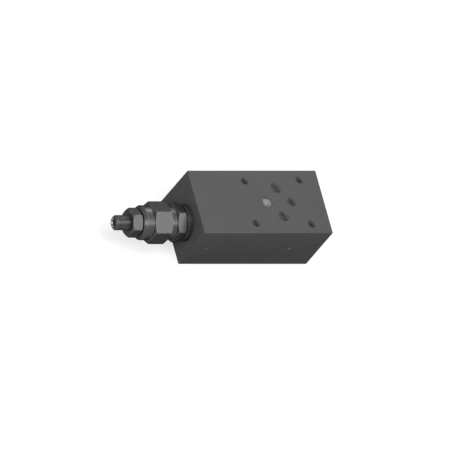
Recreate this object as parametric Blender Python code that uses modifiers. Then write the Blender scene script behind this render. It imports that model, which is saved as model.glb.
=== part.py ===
"""Hydraulic sandwich valve, size 6: a ported steel block with a screw-in relief cartridge.

The frame has its origin on the subplate face, where the line through ports P and T crosses the
line through ports A and B. +X runs along the block away from the cartridge, -Y is the marked
front face and +Z points at the valve that sits on top. The cartridge lets oil from port A pass
to port T when its pressure lifts the poppet against the spring.

Pieces of the cartridge are turned about one axis. Their heights are distances out of the block
from its end face, so a height below zero lies inside the block. A name that ends in _DEPTH or
says where something starts or ends inside the block is the same distance counted inwards.
"""

import math

import bmesh
import bpy

MM = 0.001

# Block
BLOCK_LENGTH = 94.0 * MM
BLOCK_WIDTH = 46.0 * MM
BLOCK_HEIGHT = 40.0 * MM
BLOCK_REACH = 61.5 * MM  # from the port centre to the face that carries the cartridge
EDGE_BREAK = 0.2 * MM

# Port pattern of the size 6 interface, measured from the port centre
PORT_P_Y = 10.4 * MM
PORT_T_Y = -10.4 * MM
PORT_A_X = -8.8 * MM
PORT_B_X = 8.7 * MM
PORT_DIAMETER = 7.5 * MM
PORT_B_DIAMETER = 6.5 * MM
POCKET_DEPTH = 5.0 * MM
WEB_THICKNESS = 5.0 * MM  # between a top pocket and the drilling from below
LINK_DIAMETER = 4.0 * MM  # the hole through that web
LINK_BEARING = math.radians(221.0)
LINK_WALL = 0.05 * MM
DRILL_TIP = math.radians(59.0)

# Bolt holes
BOLT_NEAR_X = -21.5 * MM
BOLT_NEAR_Y = 15.5 * MM
BOLT_FAR_X = 19.0 * MM
BOLT_FAR_Y = 16.25 * MM
BOLT_HOLE_DIAMETER = 5.5 * MM

# Face seals under the block
FACE_SEAT_DIAMETER = 12.6 * MM
FACE_SEAT_DEPTH = 1.45 * MM
FACE_RING_CORD = 1.78 * MM
FACE_RING_HEIGHT = 1.3 * MM  # a face seal as it is pressed

# Two blind holes for the drive pins of a plate on the front face
PLATE_HOLE_DIAMETER = 2.1 * MM
PLATE_HOLE_DEPTH = 3.5 * MM
PLATE_HOLE_NEAR_X = -50.5 * MM
PLATE_HOLE_FAR_X = 10.1 * MM
PLATE_HOLE_Z = 20.0 * MM

# Clearances
FLAT_GAP = 0.1 * MM
SEAL_GAP = 0.1 * MM
THREAD_GAP = 0.15 * MM
SLIDE_GAP = 0.1 * MM
CUT_PAST = 1.0 * MM

# Cartridge cavity in the block
CARTRIDGE_Y = -4.0 * MM
CARTRIDGE_Z = 20.0 * MM
MOUTH_DIAMETER = 21.6 * MM
MOUTH_DEPTH = 2.0 * MM
CAVITY_THREAD_DIAMETER = 20.0 * MM
CAVITY_THREAD_DEPTH = 14.0 * MM
RELIEF_DIAMETER = 18.6 * MM
TANK_GROOVE_DIAMETER = 23.0 * MM
TANK_GROOVE_START = 16.5 * MM
TANK_GROOVE_END = 23.0 * MM
NOSE_DIAMETER = 15.0 * MM
CAVITY_DEPTH = 34.3 * MM

# Drilled passages in the block
PASSAGE_DIAMETER = 5.0 * MM
PRESSURE_PASSAGE_Y = -2.2 * MM
TANK_PASSAGE_Y = -9.0 * MM
TANK_PASSAGE_Z = 10.0 * MM
PLUG_HOLE_DIAMETER = 8.0 * MM
PLUG_HOLE_DEPTH = 9.0 * MM
PLUG_LENGTH = 8.0 * MM
PLUG_SUNK = 0.4 * MM
PLUG_SOCKET = 4.0 * MM
PLUG_SOCKET_DEPTH = 4.2 * MM

# Cartridge body
HEX_CHAMFER = math.radians(30.0)
FLANGE_DIAMETER = 24.0 * MM
FLANGE_THICKNESS = 3.5 * MM
UNDERCUT_DIAMETER = 20.6 * MM
UNDERCUT_WIDTH = 0.3 * MM
BODY_HEX = 22.0 * MM
BODY_HEX_LENGTH = 6.9 * MM
BODY_HEX_FACE = 21.2 * MM
NECK_DIAMETER = 22.0 * MM
NECK_LENGTH = 3.4 * MM
SPIGOT_DIAMETER = 18.0 * MM
SPIGOT_LENGTH = 5.75 * MM
WAIST_DIAMETER = 16.0 * MM
TURNED_CHAMFER = 0.5 * MM
NOSE_CLEARANCE = 0.15 * MM
NOSE_LIP_BORE = 6.0 * MM
NOSE_LIP_THICKNESS = 0.9 * MM
GUIDE_BORE = 9.0 * MM
SPRING_BORE = 12.8 * MM
SPRING_BORE_DEPTH = 10.8 * MM
CROSS_HOLE_DIAMETER = 3.5 * MM

# Seals of the cartridge
BACKUP_THICKNESS = 1.0 * MM
NOSE_RING_CORD = 1.2 * MM
NOSE_GROOVE_START = 27.0 * MM
FLANGE_RING_CORD = 1.7 * MM
CAP_RING_CORD = 1.45 * MM
CAP_GROOVE_WIDTH = 1.95 * MM
SCREW_RING_CORD = 1.3 * MM
NUT_RING_CORD = 1.4 * MM

# Valve seat and poppet
SEAT_DIAMETER = 9.8 * MM
SEAT_LENGTH = 4.5 * MM
SEAT_BORE = 4.5 * MM
POPPET_CONE = math.radians(30.0)
POPPET_TIP_DIAMETER = 1.2 * MM
POPPET_NECK_DIAMETER = 6.0 * MM
POPPET_GUIDE_LENGTH = 6.7 * MM
POPPET_RELIEF_LENGTH = 0.5 * MM
COLLAR_CLEARANCE = 0.5 * MM
COLLAR_THICKNESS = 2.0 * MM
COLLAR_ROOM = 1.0 * MM  # left under the collar when the cone is closed
SPRING_SPIGOT_DIAMETER = 6.4 * MM
SPRING_SPIGOT_LENGTH = 3.5 * MM
DRAIN_DIAMETER = 1.5 * MM

# Spring
SPRING_LENGTH = 25.7 * MM  # between the poppet's collar and the spring plate
WIRE_DIAMETER = 1.8 * MM
COIL_DIAMETER = 9.2 * MM
ACTIVE_TURNS = 6
CLOSED_TURNS = 1
CLOSED_PITCH = 1.95 * MM
GROUND_SHARE = 0.33  # how much of the wire's radius is left below its middle at a ground end
POINTS_PER_TURN = 15

# Spring plate and adjusting screw
PLATE_CLEARANCE = 0.2 * MM
PLATE_THICKNESS = 2.7 * MM
PISTON_LENGTH = 6.2 * MM
PISTON_LAND = 0.7 * MM
SCREW_DIAMETER = 9.8 * MM
SCREW_TAIL = 9.9 * MM  # beyond the lock nut
SCREW_CHAMFER = 1.0 * MM
SCREW_SOCKET = 5.0 * MM
SCREW_SOCKET_DEPTH = 5.5 * MM
SOCKET_LEAD = 0.25 * MM
SCREW_BACK_ROOM = 1.4 * MM

# Spring cap
CAP_HEX = 23.85 * MM
CAP_HEX_LENGTH = 13.35 * MM
CAP_HEX_FACE = 22.6 * MM
CAP_HEX_BACK_FACE = 23.0 * MM
CAP_RING_DIAMETER = 22.5 * MM
CAP_RING_LENGTH = 4.9 * MM
CAP_CONE_LENGTH = 1.7 * MM
CAP_END_DIAMETER = 19.0 * MM

# Lock nut
NUT_HEX = 16.75 * MM
NUT_LENGTH = 7.2 * MM
NUT_FACE = 16.0 * MM
NUT_SEAT_GAP = 0.3 * MM

# Facets round a turned piece
LARGE_STEPS = 36
MEDIUM_STEPS = 30
SMALL_STEPS = 24
FINE_STEPS = 12
RING_STEPS = 24
CORD_STEPS = 8
SMOOTH_ANGLE = math.radians(32.0)

# Heights along the cartridge, outside the block
FLANGE_END = FLAT_GAP + FLANGE_THICKNESS
HEX_START = FLANGE_END + UNDERCUT_WIDTH
HEX_END = HEX_START + BODY_HEX_LENGTH
NECK_START = HEX_END + UNDERCUT_WIDTH
NECK_END = NECK_START + NECK_LENGTH
SPIGOT_END = NECK_END + SPIGOT_LENGTH
CAP_START = NECK_END + 2 * FLAT_GAP
CAP_MOUTH_END = SPIGOT_END + 2 * FLAT_GAP
CAP_RING_START = CAP_START + CAP_HEX_LENGTH
CAP_CONE_START = CAP_RING_START + CAP_RING_LENGTH
CAP_END = CAP_CONE_START + CAP_CONE_LENGTH
NUT_START = CAP_END + NUT_SEAT_GAP
NUT_END = NUT_START + NUT_LENGTH
SCREW_END = NUT_END + SCREW_TAIL

# Depths along the cartridge, inside the block
BODY_NOSE_END = CAVITY_DEPTH - 3 * FLAT_GAP
SEAT_END = BODY_NOSE_END - NOSE_LIP_THICKNESS - FLAT_GAP
SEAT_START = SEAT_END - SEAT_LENGTH
NOSE_GROOVE_END = NOSE_GROOVE_START + NOSE_RING_CORD + BACKUP_THICKNESS + 3 * FLAT_GAP
CROSS_HOLE_DEPTH = (TANK_GROOVE_START + TANK_GROOVE_END) / 2
COLLAR_START = SPRING_BORE_DEPTH - COLLAR_ROOM
COLLAR_END = COLLAR_START - COLLAR_THICKNESS
GUIDE_START = COLLAR_START + POPPET_RELIEF_LENGTH
GUIDE_END = GUIDE_START + POPPET_GUIDE_LENGTH

# Heights of what the screw carries
PLATE_START = SPRING_LENGTH - COLLAR_END
PLATE_END = PLATE_START + PLATE_THICKNESS
PISTON_START = PLATE_END + FLAT_GAP
PISTON_END = PISTON_START + PISTON_LENGTH
PISTON_GROOVE_END = PISTON_END - PISTON_LAND
PISTON_GROOVE_START = PISTON_GROOVE_END - SCREW_RING_CORD - BACKUP_THICKNESS - 3 * FLAT_GAP
CAP_BORE_END = PISTON_END + SCREW_BACK_ROOM

# Seals fill the room between a bore and the groove inside it
CAP_MOUTH_DIAMETER = SPIGOT_DIAMETER + 2 * THREAD_GAP
SCREW_HOLE_DIAMETER = SCREW_DIAMETER + 2 * THREAD_GAP
NUT_SEAL_DIAMETER = SCREW_DIAMETER + 2 * SEAL_GAP + 2 * NUT_RING_CORD

# The seat that each port's seal lies in
FACE_SEAT = (FACE_SEAT_DIAMETER, FACE_SEAT_DEPTH)

# How each face of the block turns a cutter whose own +Z points out of the metal
FACE_TURN = {
    "top": (0.0, 0.0, 0.0),
    "bottom": (math.pi, 0.0, 0.0),
    "right": (0.0, math.pi / 2, 0.0),
    "left": (0.0, -math.pi / 2, 0.0),
    "front": (math.pi / 2, 0.0, 0.0),
}

# Every port: name, place on the block and diameter
PORTS = (
    ("p", (0.0, PORT_P_Y), PORT_DIAMETER),
    ("t", (0.0, PORT_T_Y), PORT_DIAMETER),
    ("a", (PORT_A_X, 0.0), PORT_DIAMETER),
    ("b", (PORT_B_X, 0.0), PORT_B_DIAMETER),
)


def new_collection(name):
    made = bpy.data.collections.new(name)
    bpy.context.scene.collection.children.link(made)
    return made


def plain_material(name, colour, roughness, metallic):
    """A Principled BSDF material with one colour."""
    made = bpy.data.materials.new(name)
    made.use_nodes = True
    shader = made.node_tree.nodes["Principled BSDF"]
    shader.inputs["Base Color"].default_value = (*colour, 1.0)
    shader.inputs["Roughness"].default_value = roughness
    shader.inputs["Metallic"].default_value = metallic
    return made


for old in list(bpy.data.objects):
    bpy.data.objects.remove(old, do_unlink=True)
VALVE = new_collection("sandwich_valve")
CUTTERS = new_collection("cutters")

BLOCK_STEEL = plain_material("block_steel", (0.14, 0.14, 0.14), 0.55, 0.9)
CARTRIDGE_STEEL = plain_material("cartridge_steel", (0.20, 0.20, 0.20), 0.45, 0.95)
HARD_STEEL = plain_material("hard_steel", (0.42, 0.42, 0.44), 0.3, 1.0)
SPRING_STEEL = plain_material("spring_steel", (0.30, 0.30, 0.32), 0.35, 1.0)
SEAL_RUBBER = plain_material("seal_rubber", (0.02, 0.02, 0.02), 0.6, 0.0)
BACKUP_PLASTIC = plain_material("backup_plastic", (0.80, 0.79, 0.74), 0.5, 0.0)


def add_object(name, data, collection, parent=None):
    obj = bpy.data.objects.new(name, data)
    collection.objects.link(obj)
    obj.parent = parent
    if collection is CUTTERS:
        obj.hide_render = True
        obj.display_type = "WIRE"
    return obj


def place(obj, location, face):
    obj.location = location
    obj.rotation_euler = FACE_TURN[face]
    return obj


# The line that every cartridge piece is turned about, and that its moving pieces travel along
CARTRIDGE_AXIS = place(
    add_object("cartridge_axis", None, VALVE), (-BLOCK_REACH, CARTRIDGE_Y, CARTRIDGE_Z), "left"
)


def turned(name, outline, steps, collection, parent=None, hollow=False):
    """A solid of revolution about its own Z. Its outline of (radius, height) runs down outside."""
    corners = [(radius, 0.0, height) for radius, height in outline]
    edges = [(i, i + 1) for i in range(len(corners) - 1)]
    if hollow:
        edges.append((len(corners) - 1, 0))
    mesh = bpy.data.meshes.new(name)
    mesh.from_pydata(corners, edges, [])
    obj = add_object(name, mesh, collection, parent)
    screw = obj.modifiers.new("turn", "SCREW")
    screw.axis = "Z"
    screw.steps = steps
    screw.render_steps = steps
    screw.use_merge_vertices = True
    screw.merge_threshold = 0.00001
    return obj


def rod(name, diameter, low, high, steps, collection, parent=None):
    """A plain cylinder, or a hexagonal bar where steps is 6."""
    radius = diameter / 2
    outline = [(0.0, high), (radius, high), (radius, low), (0.0, low)]
    return turned(name, outline, steps, collection, parent)


def boolean(obj, tool, operation):
    """Cuts, joins or trims obj with another object that stays in the cutters' collection."""
    modifier = obj.modifiers.new(tool.name, "BOOLEAN")
    modifier.operation = operation
    modifier.solver = "EXACT"
    modifier.object = tool
    return obj


def settle(obj, material):
    """Makes the piece's modifiers final, shades its round faces smooth and gives its material."""
    graph = bpy.context.evaluated_depsgraph_get()
    mesh = bpy.data.meshes.new_from_object(obj.evaluated_get(graph))
    obj.modifiers.clear()
    obj.data = mesh
    mesh.name = obj.name
    mesh.materials.clear()
    mesh.materials.append(material)
    mesh.shade_smooth()
    mesh.set_sharp_from_angle(angle=SMOOTH_ANGLE)
    return obj


def drill_tip(radius):
    """How far the point of a twist drill runs on past its full diameter."""
    return radius / math.tan(DRILL_TIP)


def drilling(name, diameter, depth, location, face, counterbore=None):
    """A cutter for a drilled hole that starts on a face. depth ends the full diameter.

    A counterbore is the diameter and depth of a wider, flat start to the same hole.
    """
    radius = diameter / 2
    outline = [(radius, CUT_PAST)]
    if counterbore:
        wide, floor = counterbore
        outline = [(wide / 2, CUT_PAST), (wide / 2, -floor), (radius, -floor)]
    outline += [(radius, -depth), (0.0, -depth - drill_tip(radius))]
    return place(turned(name, [(0.0, CUT_PAST), *outline], SMALL_STEPS, CUTTERS), location, face)


def milling(name, diameter, depth, location, face):
    """A cutter for a hole with a flat floor."""
    cutter = rod(name, diameter, -depth, CUT_PAST, SMALL_STEPS, CUTTERS)
    return place(cutter, location, face)


def across_corners(across_flats):
    return across_flats / math.cos(math.pi / 6)


def hexagon(name, across_flats, low, high, low_face, high_face, collection):
    """A hexagonal bar with 30 degree chamfers that leave round end faces of two diameters."""
    corners = across_corners(across_flats)
    bar = rod(name, corners, low - CUT_PAST, high + CUT_PAST, 6, collection, CARTRIDGE_AXIS)
    outside = corners / 2 + CUT_PAST
    high_drop = (outside - high_face / 2) * math.tan(HEX_CHAMFER)
    low_rise = (outside - low_face / 2) * math.tan(HEX_CHAMFER)
    outline = [
        (0.0, high),
        (high_face / 2, high),
        (outside, high - high_drop),
        (outside, low + low_rise),
        (low_face / 2, low),
        (0.0, low),
    ]
    chamfers = turned(name + "_chamfers", outline, LARGE_STEPS, CUTTERS, CARTRIDGE_AXIS)
    # half a facet's turn keeps these edges off those of the round pieces that join the bar
    chamfers.rotation_euler.z = math.pi / LARGE_STEPS
    return boolean(bar, chamfers, "INTERSECT")


def o_ring(name, outer_diameter, cord, middle, parent, height=None):
    """An O-ring round its parent's Z axis, of the cord's own height or pressed to another."""
    bpy.ops.mesh.primitive_torus_add(
        major_segments=RING_STEPS,
        minor_segments=CORD_STEPS,
        major_radius=(outer_diameter - cord) / 2,
        minor_radius=cord / 2,
    )
    obj = bpy.context.object
    obj.name = name
    bpy.context.collection.objects.unlink(obj)
    VALVE.objects.link(obj)
    obj.parent = parent
    obj.location.z = middle
    if height:
        squeezed = bmesh.new()
        squeezed.from_mesh(obj.data)
        bmesh.ops.scale(squeezed, vec=(1.0, 1.0, height / cord), verts=squeezed.verts)
        squeezed.to_mesh(obj.data)
        squeezed.free()
    return settle(obj, SEAL_RUBBER)


def flat_ring(name, inner_diameter, outer_diameter, low, high, material):
    """A washer-shaped piece on the cartridge's axis."""
    inner = inner_diameter / 2
    outer = outer_diameter / 2
    outline = [(inner, high), (outer, high), (outer, low), (inner, low)]
    piece = turned(name, outline, MEDIUM_STEPS, VALVE, CARTRIDGE_AXIS, hollow=True)
    return settle(piece, material)


def port_cutters(name, spot, diameter):
    """The pocket on top, the drilling from below with its seal's seat, and their link."""
    x, y = spot
    top = (x, y, BLOCK_HEIGHT)
    bottom = (x, y, 0.0)
    if name == "a":
        yield drilling("pocket_a", diameter, POCKET_DEPTH - drill_tip(diameter / 2), top, "top")
    else:
        yield milling("pocket_" + name, diameter, POCKET_DEPTH, top, "top")
    riser_depth = BLOCK_HEIGHT - POCKET_DEPTH - WEB_THICKNESS - drill_tip(diameter / 2)
    yield drilling("riser_" + name, diameter, riser_depth, bottom, "bottom", FACE_SEAT)
    low = riser_depth - CUT_PAST
    high = BLOCK_HEIGHT - CUT_PAST
    link = rod("link_" + name, LINK_DIAMETER, low, high, SMALL_STEPS, CUTTERS)
    offset = (diameter - LINK_DIAMETER) / 2 - LINK_WALL
    link.location.x = x + offset * math.cos(LINK_BEARING)
    link.location.y = y + offset * math.sin(LINK_BEARING)
    yield link


def bolt_cutters():
    spots = (
        (BOLT_NEAR_X, -BOLT_NEAR_Y),
        (BOLT_NEAR_X, BOLT_NEAR_Y),
        (BOLT_FAR_X, -BOLT_FAR_Y),
        (BOLT_FAR_X, BOLT_FAR_Y),
    )
    for number, (x, y) in enumerate(spots, start=1):
        name = f"bolt_hole_{number}"
        past_top = BLOCK_HEIGHT + CUT_PAST
        hole = rod(name, BOLT_HOLE_DIAMETER, -CUT_PAST, past_top, SMALL_STEPS, CUTTERS)
        hole.location = (x, y, 0.0)
        yield hole


def cavity_cutter():
    """The stepped bore for the cartridge, with the groove that gathers the oil going to tank."""
    outline = [
        (0.0, CUT_PAST),
        (MOUTH_DIAMETER / 2, CUT_PAST),
        (MOUTH_DIAMETER / 2, -MOUTH_DEPTH),
        (CAVITY_THREAD_DIAMETER / 2, -MOUTH_DEPTH),
        (CAVITY_THREAD_DIAMETER / 2, -CAVITY_THREAD_DEPTH),
        (RELIEF_DIAMETER / 2, -CAVITY_THREAD_DEPTH),
        (RELIEF_DIAMETER / 2, -TANK_GROOVE_START),
        (TANK_GROOVE_DIAMETER / 2, -TANK_GROOVE_START),
        (TANK_GROOVE_DIAMETER / 2, -TANK_GROOVE_END),
        (NOSE_DIAMETER / 2, -TANK_GROOVE_END),
        (NOSE_DIAMETER / 2, -CAVITY_DEPTH),
        (0.0, -CAVITY_DEPTH),
    ]
    return turned("cavity", outline, LARGE_STEPS, CUTTERS, CARTRIDGE_AXIS)


def passage_cutters():
    """The way from port A to the cartridge's nose, and the way from its tank groove to port T."""
    nose_x = CAVITY_DEPTH - BLOCK_REACH
    middle_of_a = (PORT_A_X, PRESSURE_PASSAGE_Y, CARTRIDGE_Z)
    run = PORT_A_X - nose_x
    pressure = rod("pressure_passage", PASSAGE_DIAMETER, 0.0, run + CUT_PAST, SMALL_STEPS, CUTTERS)
    yield place(pressure, middle_of_a, "left")
    right = BLOCK_LENGTH - BLOCK_REACH
    mouth = (right, TANK_PASSAGE_Y, TANK_PASSAGE_Z)
    run = BLOCK_LENGTH - CROSS_HOLE_DEPTH
    yield drilling("tank_passage", PASSAGE_DIAMETER, run, mouth, "right")
    yield drilling("plug_hole", PLUG_HOLE_DIAMETER, PLUG_HOLE_DEPTH, mouth, "right")


def plate_hole_cutters():
    for number, x in enumerate((PLATE_HOLE_NEAR_X, PLATE_HOLE_FAR_X), start=1):
        spot = (x, -BLOCK_WIDTH / 2, PLATE_HOLE_Z)
        name = f"plate_hole_{number}"
        yield drilling(name, PLATE_HOLE_DIAMETER, PLATE_HOLE_DEPTH, spot, "front")


def make_valve_block():
    mesh = bpy.data.meshes.new("valve_block")
    solid = bmesh.new()
    bmesh.ops.create_cube(solid, size=1.0)
    bmesh.ops.scale(solid, vec=(BLOCK_LENGTH, BLOCK_WIDTH, BLOCK_HEIGHT), verts=solid.verts)
    solid.to_mesh(mesh)
    solid.free()
    block = add_object("valve_block", mesh, VALVE)
    block.location = (BLOCK_LENGTH / 2 - BLOCK_REACH, 0.0, BLOCK_HEIGHT / 2)
    edges = block.modifiers.new("edge_break", "BEVEL")
    edges.width = EDGE_BREAK
    edges.segments = 1
    cutters = [cavity_cutter(), *bolt_cutters(), *passage_cutters(), *plate_hole_cutters()]
    for port in PORTS:
        cutters.extend(port_cutters(*port))
    for cutter in cutters:
        boolean(block, cutter, "DIFFERENCE")
    return settle(block, BLOCK_STEEL)


def make_face_seals():
    """The four O-rings that seal the block on the plate or valve under it."""
    for name, (x, y), _ in PORTS:
        ring_diameter = FACE_SEAT_DIAMETER - 2 * SEAL_GAP
        middle = FACE_SEAT_DEPTH - SEAL_GAP - FACE_RING_HEIGHT / 2
        seal = o_ring(
            "port_o_ring_" + name, ring_diameter, FACE_RING_CORD, middle, None, FACE_RING_HEIGHT
        )
        seal.location.x = x
        seal.location.y = y


def make_passage_plug():
    """The hexagon socket screw plug that closes the tank passage in the right end face."""
    mouth = (BLOCK_LENGTH - BLOCK_REACH, TANK_PASSAGE_Y, TANK_PASSAGE_Z)
    radius = PLUG_HOLE_DIAMETER / 2 - THREAD_GAP
    top = -PLUG_SUNK
    bottom = top - PLUG_LENGTH
    outline = [
        (0.0, top),
        (radius - TURNED_CHAMFER, top),
        (radius, top - TURNED_CHAMFER),
        (radius, bottom + TURNED_CHAMFER),
        (radius - TURNED_CHAMFER, bottom),
        (0.0, bottom),
    ]
    plug = place(turned("passage_plug", outline, SMALL_STEPS, VALVE), mouth, "right")
    floor = top - PLUG_SOCKET_DEPTH
    key = rod("plug_socket", across_corners(PLUG_SOCKET), floor, CUT_PAST, 6, CUTTERS)
    boolean(plug, place(key, mouth, "right"), "DIFFERENCE")
    return settle(plug, CARTRIDGE_STEEL)


def cross_drill(name, diameter, length, depth, quarter):
    """A cutter across the cartridge's axis, turned a quarter at a time."""
    cutter = rod(name, diameter, -length / 2, length / 2, FINE_STEPS, CUTTERS, CARTRIDGE_AXIS)
    cutter.location.z = -depth
    cutter.rotation_euler = (math.pi / 2, 0.0, quarter * math.pi / 2)
    return cutter


def body_outline():
    """The outside of the cartridge body, from the spigot in the cap down to the nose."""
    spigot = SPIGOT_DIAMETER / 2
    neck = NECK_DIAMETER / 2
    undercut = UNDERCUT_DIAMETER / 2
    flange = FLANGE_DIAMETER / 2
    waist = WAIST_DIAMETER / 2
    thread = CAVITY_THREAD_DIAMETER / 2 - THREAD_GAP
    nose = NOSE_DIAMETER / 2 - NOSE_CLEARANCE
    cap_groove = CAP_MOUTH_DIAMETER / 2 - CAP_RING_CORD - 2 * SEAL_GAP
    mouth_neck = MOUTH_DIAMETER / 2 - FLANGE_RING_CORD - 2 * SEAL_GAP
    nose_groove = NOSE_DIAMETER / 2 - NOSE_RING_CORD - 2 * SEAL_GAP
    thread_start = -MOUTH_DEPTH - 2 * FLAT_GAP
    thread_end = 2 * FLAT_GAP - CAVITY_THREAD_DEPTH
    waist_end = 2 * FLAT_GAP - TANK_GROOVE_END
    return [
        (0.0, SPIGOT_END),
        (spigot - TURNED_CHAMFER, SPIGOT_END),
        (spigot, SPIGOT_END - TURNED_CHAMFER),
        (spigot, NECK_END + CAP_GROOVE_WIDTH),
        (cap_groove, NECK_END + CAP_GROOVE_WIDTH),
        (cap_groove, NECK_END),
        (neck, NECK_END),
        (neck, NECK_START),
        (undercut, NECK_START),
        (undercut, FLANGE_END),
        (flange, FLANGE_END),
        (flange, FLAT_GAP),
        (mouth_neck, FLAT_GAP),
        (mouth_neck, thread_start),
        (thread - TURNED_CHAMFER, thread_start),
        (thread, thread_start - TURNED_CHAMFER),
        (thread, thread_end + TURNED_CHAMFER),
        (thread - TURNED_CHAMFER, thread_end),
        (waist, thread_end),
        (waist, waist_end),
        (nose, waist_end),
        (nose, -NOSE_GROOVE_START),
        (nose_groove, -NOSE_GROOVE_START),
        (nose_groove, -NOSE_GROOVE_END),
        (nose, -NOSE_GROOVE_END),
        (nose, TURNED_CHAMFER - BODY_NOSE_END),
        (nose - TURNED_CHAMFER, -BODY_NOSE_END),
        (0.0, -BODY_NOSE_END),
    ]


def body_bores():
    """The spring chamber, the poppet's guide and the bore that holds the seat behind its lip."""
    seat_hole = SEAT_DIAMETER / 2 + FLAT_GAP
    above = SPIGOT_END + CUT_PAST
    below = -BODY_NOSE_END - CUT_PAST
    outline = [
        (0.0, above),
        (SPRING_BORE / 2, above),
        (SPRING_BORE / 2, -SPRING_BORE_DEPTH),
        (GUIDE_BORE / 2, -SPRING_BORE_DEPTH),
        (GUIDE_BORE / 2, FLAT_GAP - SEAT_START),
        (seat_hole, FLAT_GAP - SEAT_START),
        (seat_hole, -FLAT_GAP - SEAT_END),
        (NOSE_LIP_BORE / 2, -FLAT_GAP - SEAT_END),
        (NOSE_LIP_BORE / 2, below),
        (0.0, below),
    ]
    return turned("body_bores", outline, MEDIUM_STEPS, CUTTERS, CARTRIDGE_AXIS)


def make_cartridge_body():
    body = turned("cartridge_body", body_outline(), LARGE_STEPS, VALVE, CARTRIDGE_AXIS)
    face = BODY_HEX_FACE
    hexagonal = hexagon("body_hex", BODY_HEX, HEX_START, HEX_END, face, face, CUTTERS)
    boolean(body, hexagonal, "UNION")
    boolean(body, body_bores(), "DIFFERENCE")
    for quarter in (0, 1):
        name = f"cross_holes_{quarter + 1}"
        length = WAIST_DIAMETER + 2 * CUT_PAST
        drill = cross_drill(name, CROSS_HOLE_DIAMETER, length, CROSS_HOLE_DEPTH, quarter)
        boolean(body, drill, "DIFFERENCE")
    return settle(body, CARTRIDGE_STEEL)


def make_body_seals():
    outer = NOSE_DIAMETER - 2 * SEAL_GAP
    backup_low = -NOSE_GROOVE_START - FLAT_GAP - BACKUP_THICKNESS
    nose_ring = backup_low - FLAT_GAP - NOSE_RING_CORD / 2
    o_ring("nose_o_ring", outer, NOSE_RING_CORD, nose_ring, CARTRIDGE_AXIS)
    inner = outer - 2 * NOSE_RING_CORD
    backup_high = backup_low + BACKUP_THICKNESS
    flat_ring("nose_backup_ring", inner, outer, backup_low, backup_high, BACKUP_PLASTIC)
    outer = MOUTH_DIAMETER - 2 * SEAL_GAP
    middle = (FLAT_GAP - MOUTH_DEPTH) / 2
    o_ring("flange_o_ring", outer, FLANGE_RING_CORD, middle, CARTRIDGE_AXIS)
    outer = CAP_MOUTH_DIAMETER - 2 * SEAL_GAP
    middle = NECK_END + CAP_GROOVE_WIDTH / 2
    o_ring("cap_o_ring", outer, CAP_RING_CORD, middle, CARTRIDGE_AXIS)


def make_valve_seat():
    return flat_ring("valve_seat", SEAT_BORE, SEAT_DIAMETER, -SEAT_END, -SEAT_START, HARD_STEEL)


def make_poppet():
    """The cone that closes the seat, its guide, its collar for the spring and its drain hole."""
    spigot = SPRING_SPIGOT_DIAMETER / 2
    collar = SPRING_BORE / 2 - COLLAR_CLEARANCE
    guide = GUIDE_BORE / 2 - SLIDE_GAP
    neck = POPPET_NECK_DIAMETER / 2
    tip = POPPET_TIP_DIAMETER / 2
    at_seat = SEAT_BORE / 2 - SLIDE_GAP
    neck_end = SEAT_START - (neck - at_seat) / math.tan(POPPET_CONE)
    tip_end = SEAT_START + (at_seat - tip) / math.tan(POPPET_CONE)
    top = SPRING_SPIGOT_LENGTH - COLLAR_END
    outline = [
        (0.0, top),
        (spigot - TURNED_CHAMFER, top),
        (spigot, top - TURNED_CHAMFER),
        (spigot, -COLLAR_END),
        (collar, -COLLAR_END),
        (collar, -COLLAR_START),
        (spigot, -COLLAR_START),
        (spigot, -GUIDE_START),
        (guide, -GUIDE_START),
        (guide, -GUIDE_END),
        (neck, -GUIDE_END),
        (neck, -neck_end),
        (tip, -tip_end),
        (0.0, -tip_end),
    ]
    poppet = turned("poppet", outline, MEDIUM_STEPS, VALVE, CARTRIDGE_AXIS)
    bottom = -CROSS_HOLE_DEPTH - DRAIN_DIAMETER / 2
    above = top + CUT_PAST
    drain = rod("drain_hole", DRAIN_DIAMETER, bottom, above, FINE_STEPS, CUTTERS, CARTRIDGE_AXIS)
    boolean(poppet, drain, "DIFFERENCE")
    length = POPPET_NECK_DIAMETER + 2 * CUT_PAST
    cross = cross_drill("drain_cross_hole", DRAIN_DIAMETER, length, CROSS_HOLE_DEPTH, 0)
    boolean(poppet, cross, "DIFFERENCE")
    return settle(poppet, HARD_STEEL)


def spring_points(low, high):
    """The middle of the wire, closed at both ends and open between them."""
    turns = ACTIVE_TURNS + 2 * CLOSED_TURNS
    closed_rise = CLOSED_TURNS * CLOSED_PITCH
    open_pitch = (high - low - 2 * closed_rise) / ACTIVE_TURNS
    radius = COIL_DIAMETER / 2
    for step in range(turns * POINTS_PER_TURN + 1):
        turn = step / POINTS_PER_TURN
        closed = min(turn, CLOSED_TURNS) + max(turn - CLOSED_TURNS - ACTIVE_TURNS, 0.0)
        height = low + closed * CLOSED_PITCH + (turn - closed) * open_pitch
        angle = 2 * math.pi * turn
        yield radius * math.cos(angle), radius * math.sin(angle), height


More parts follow.
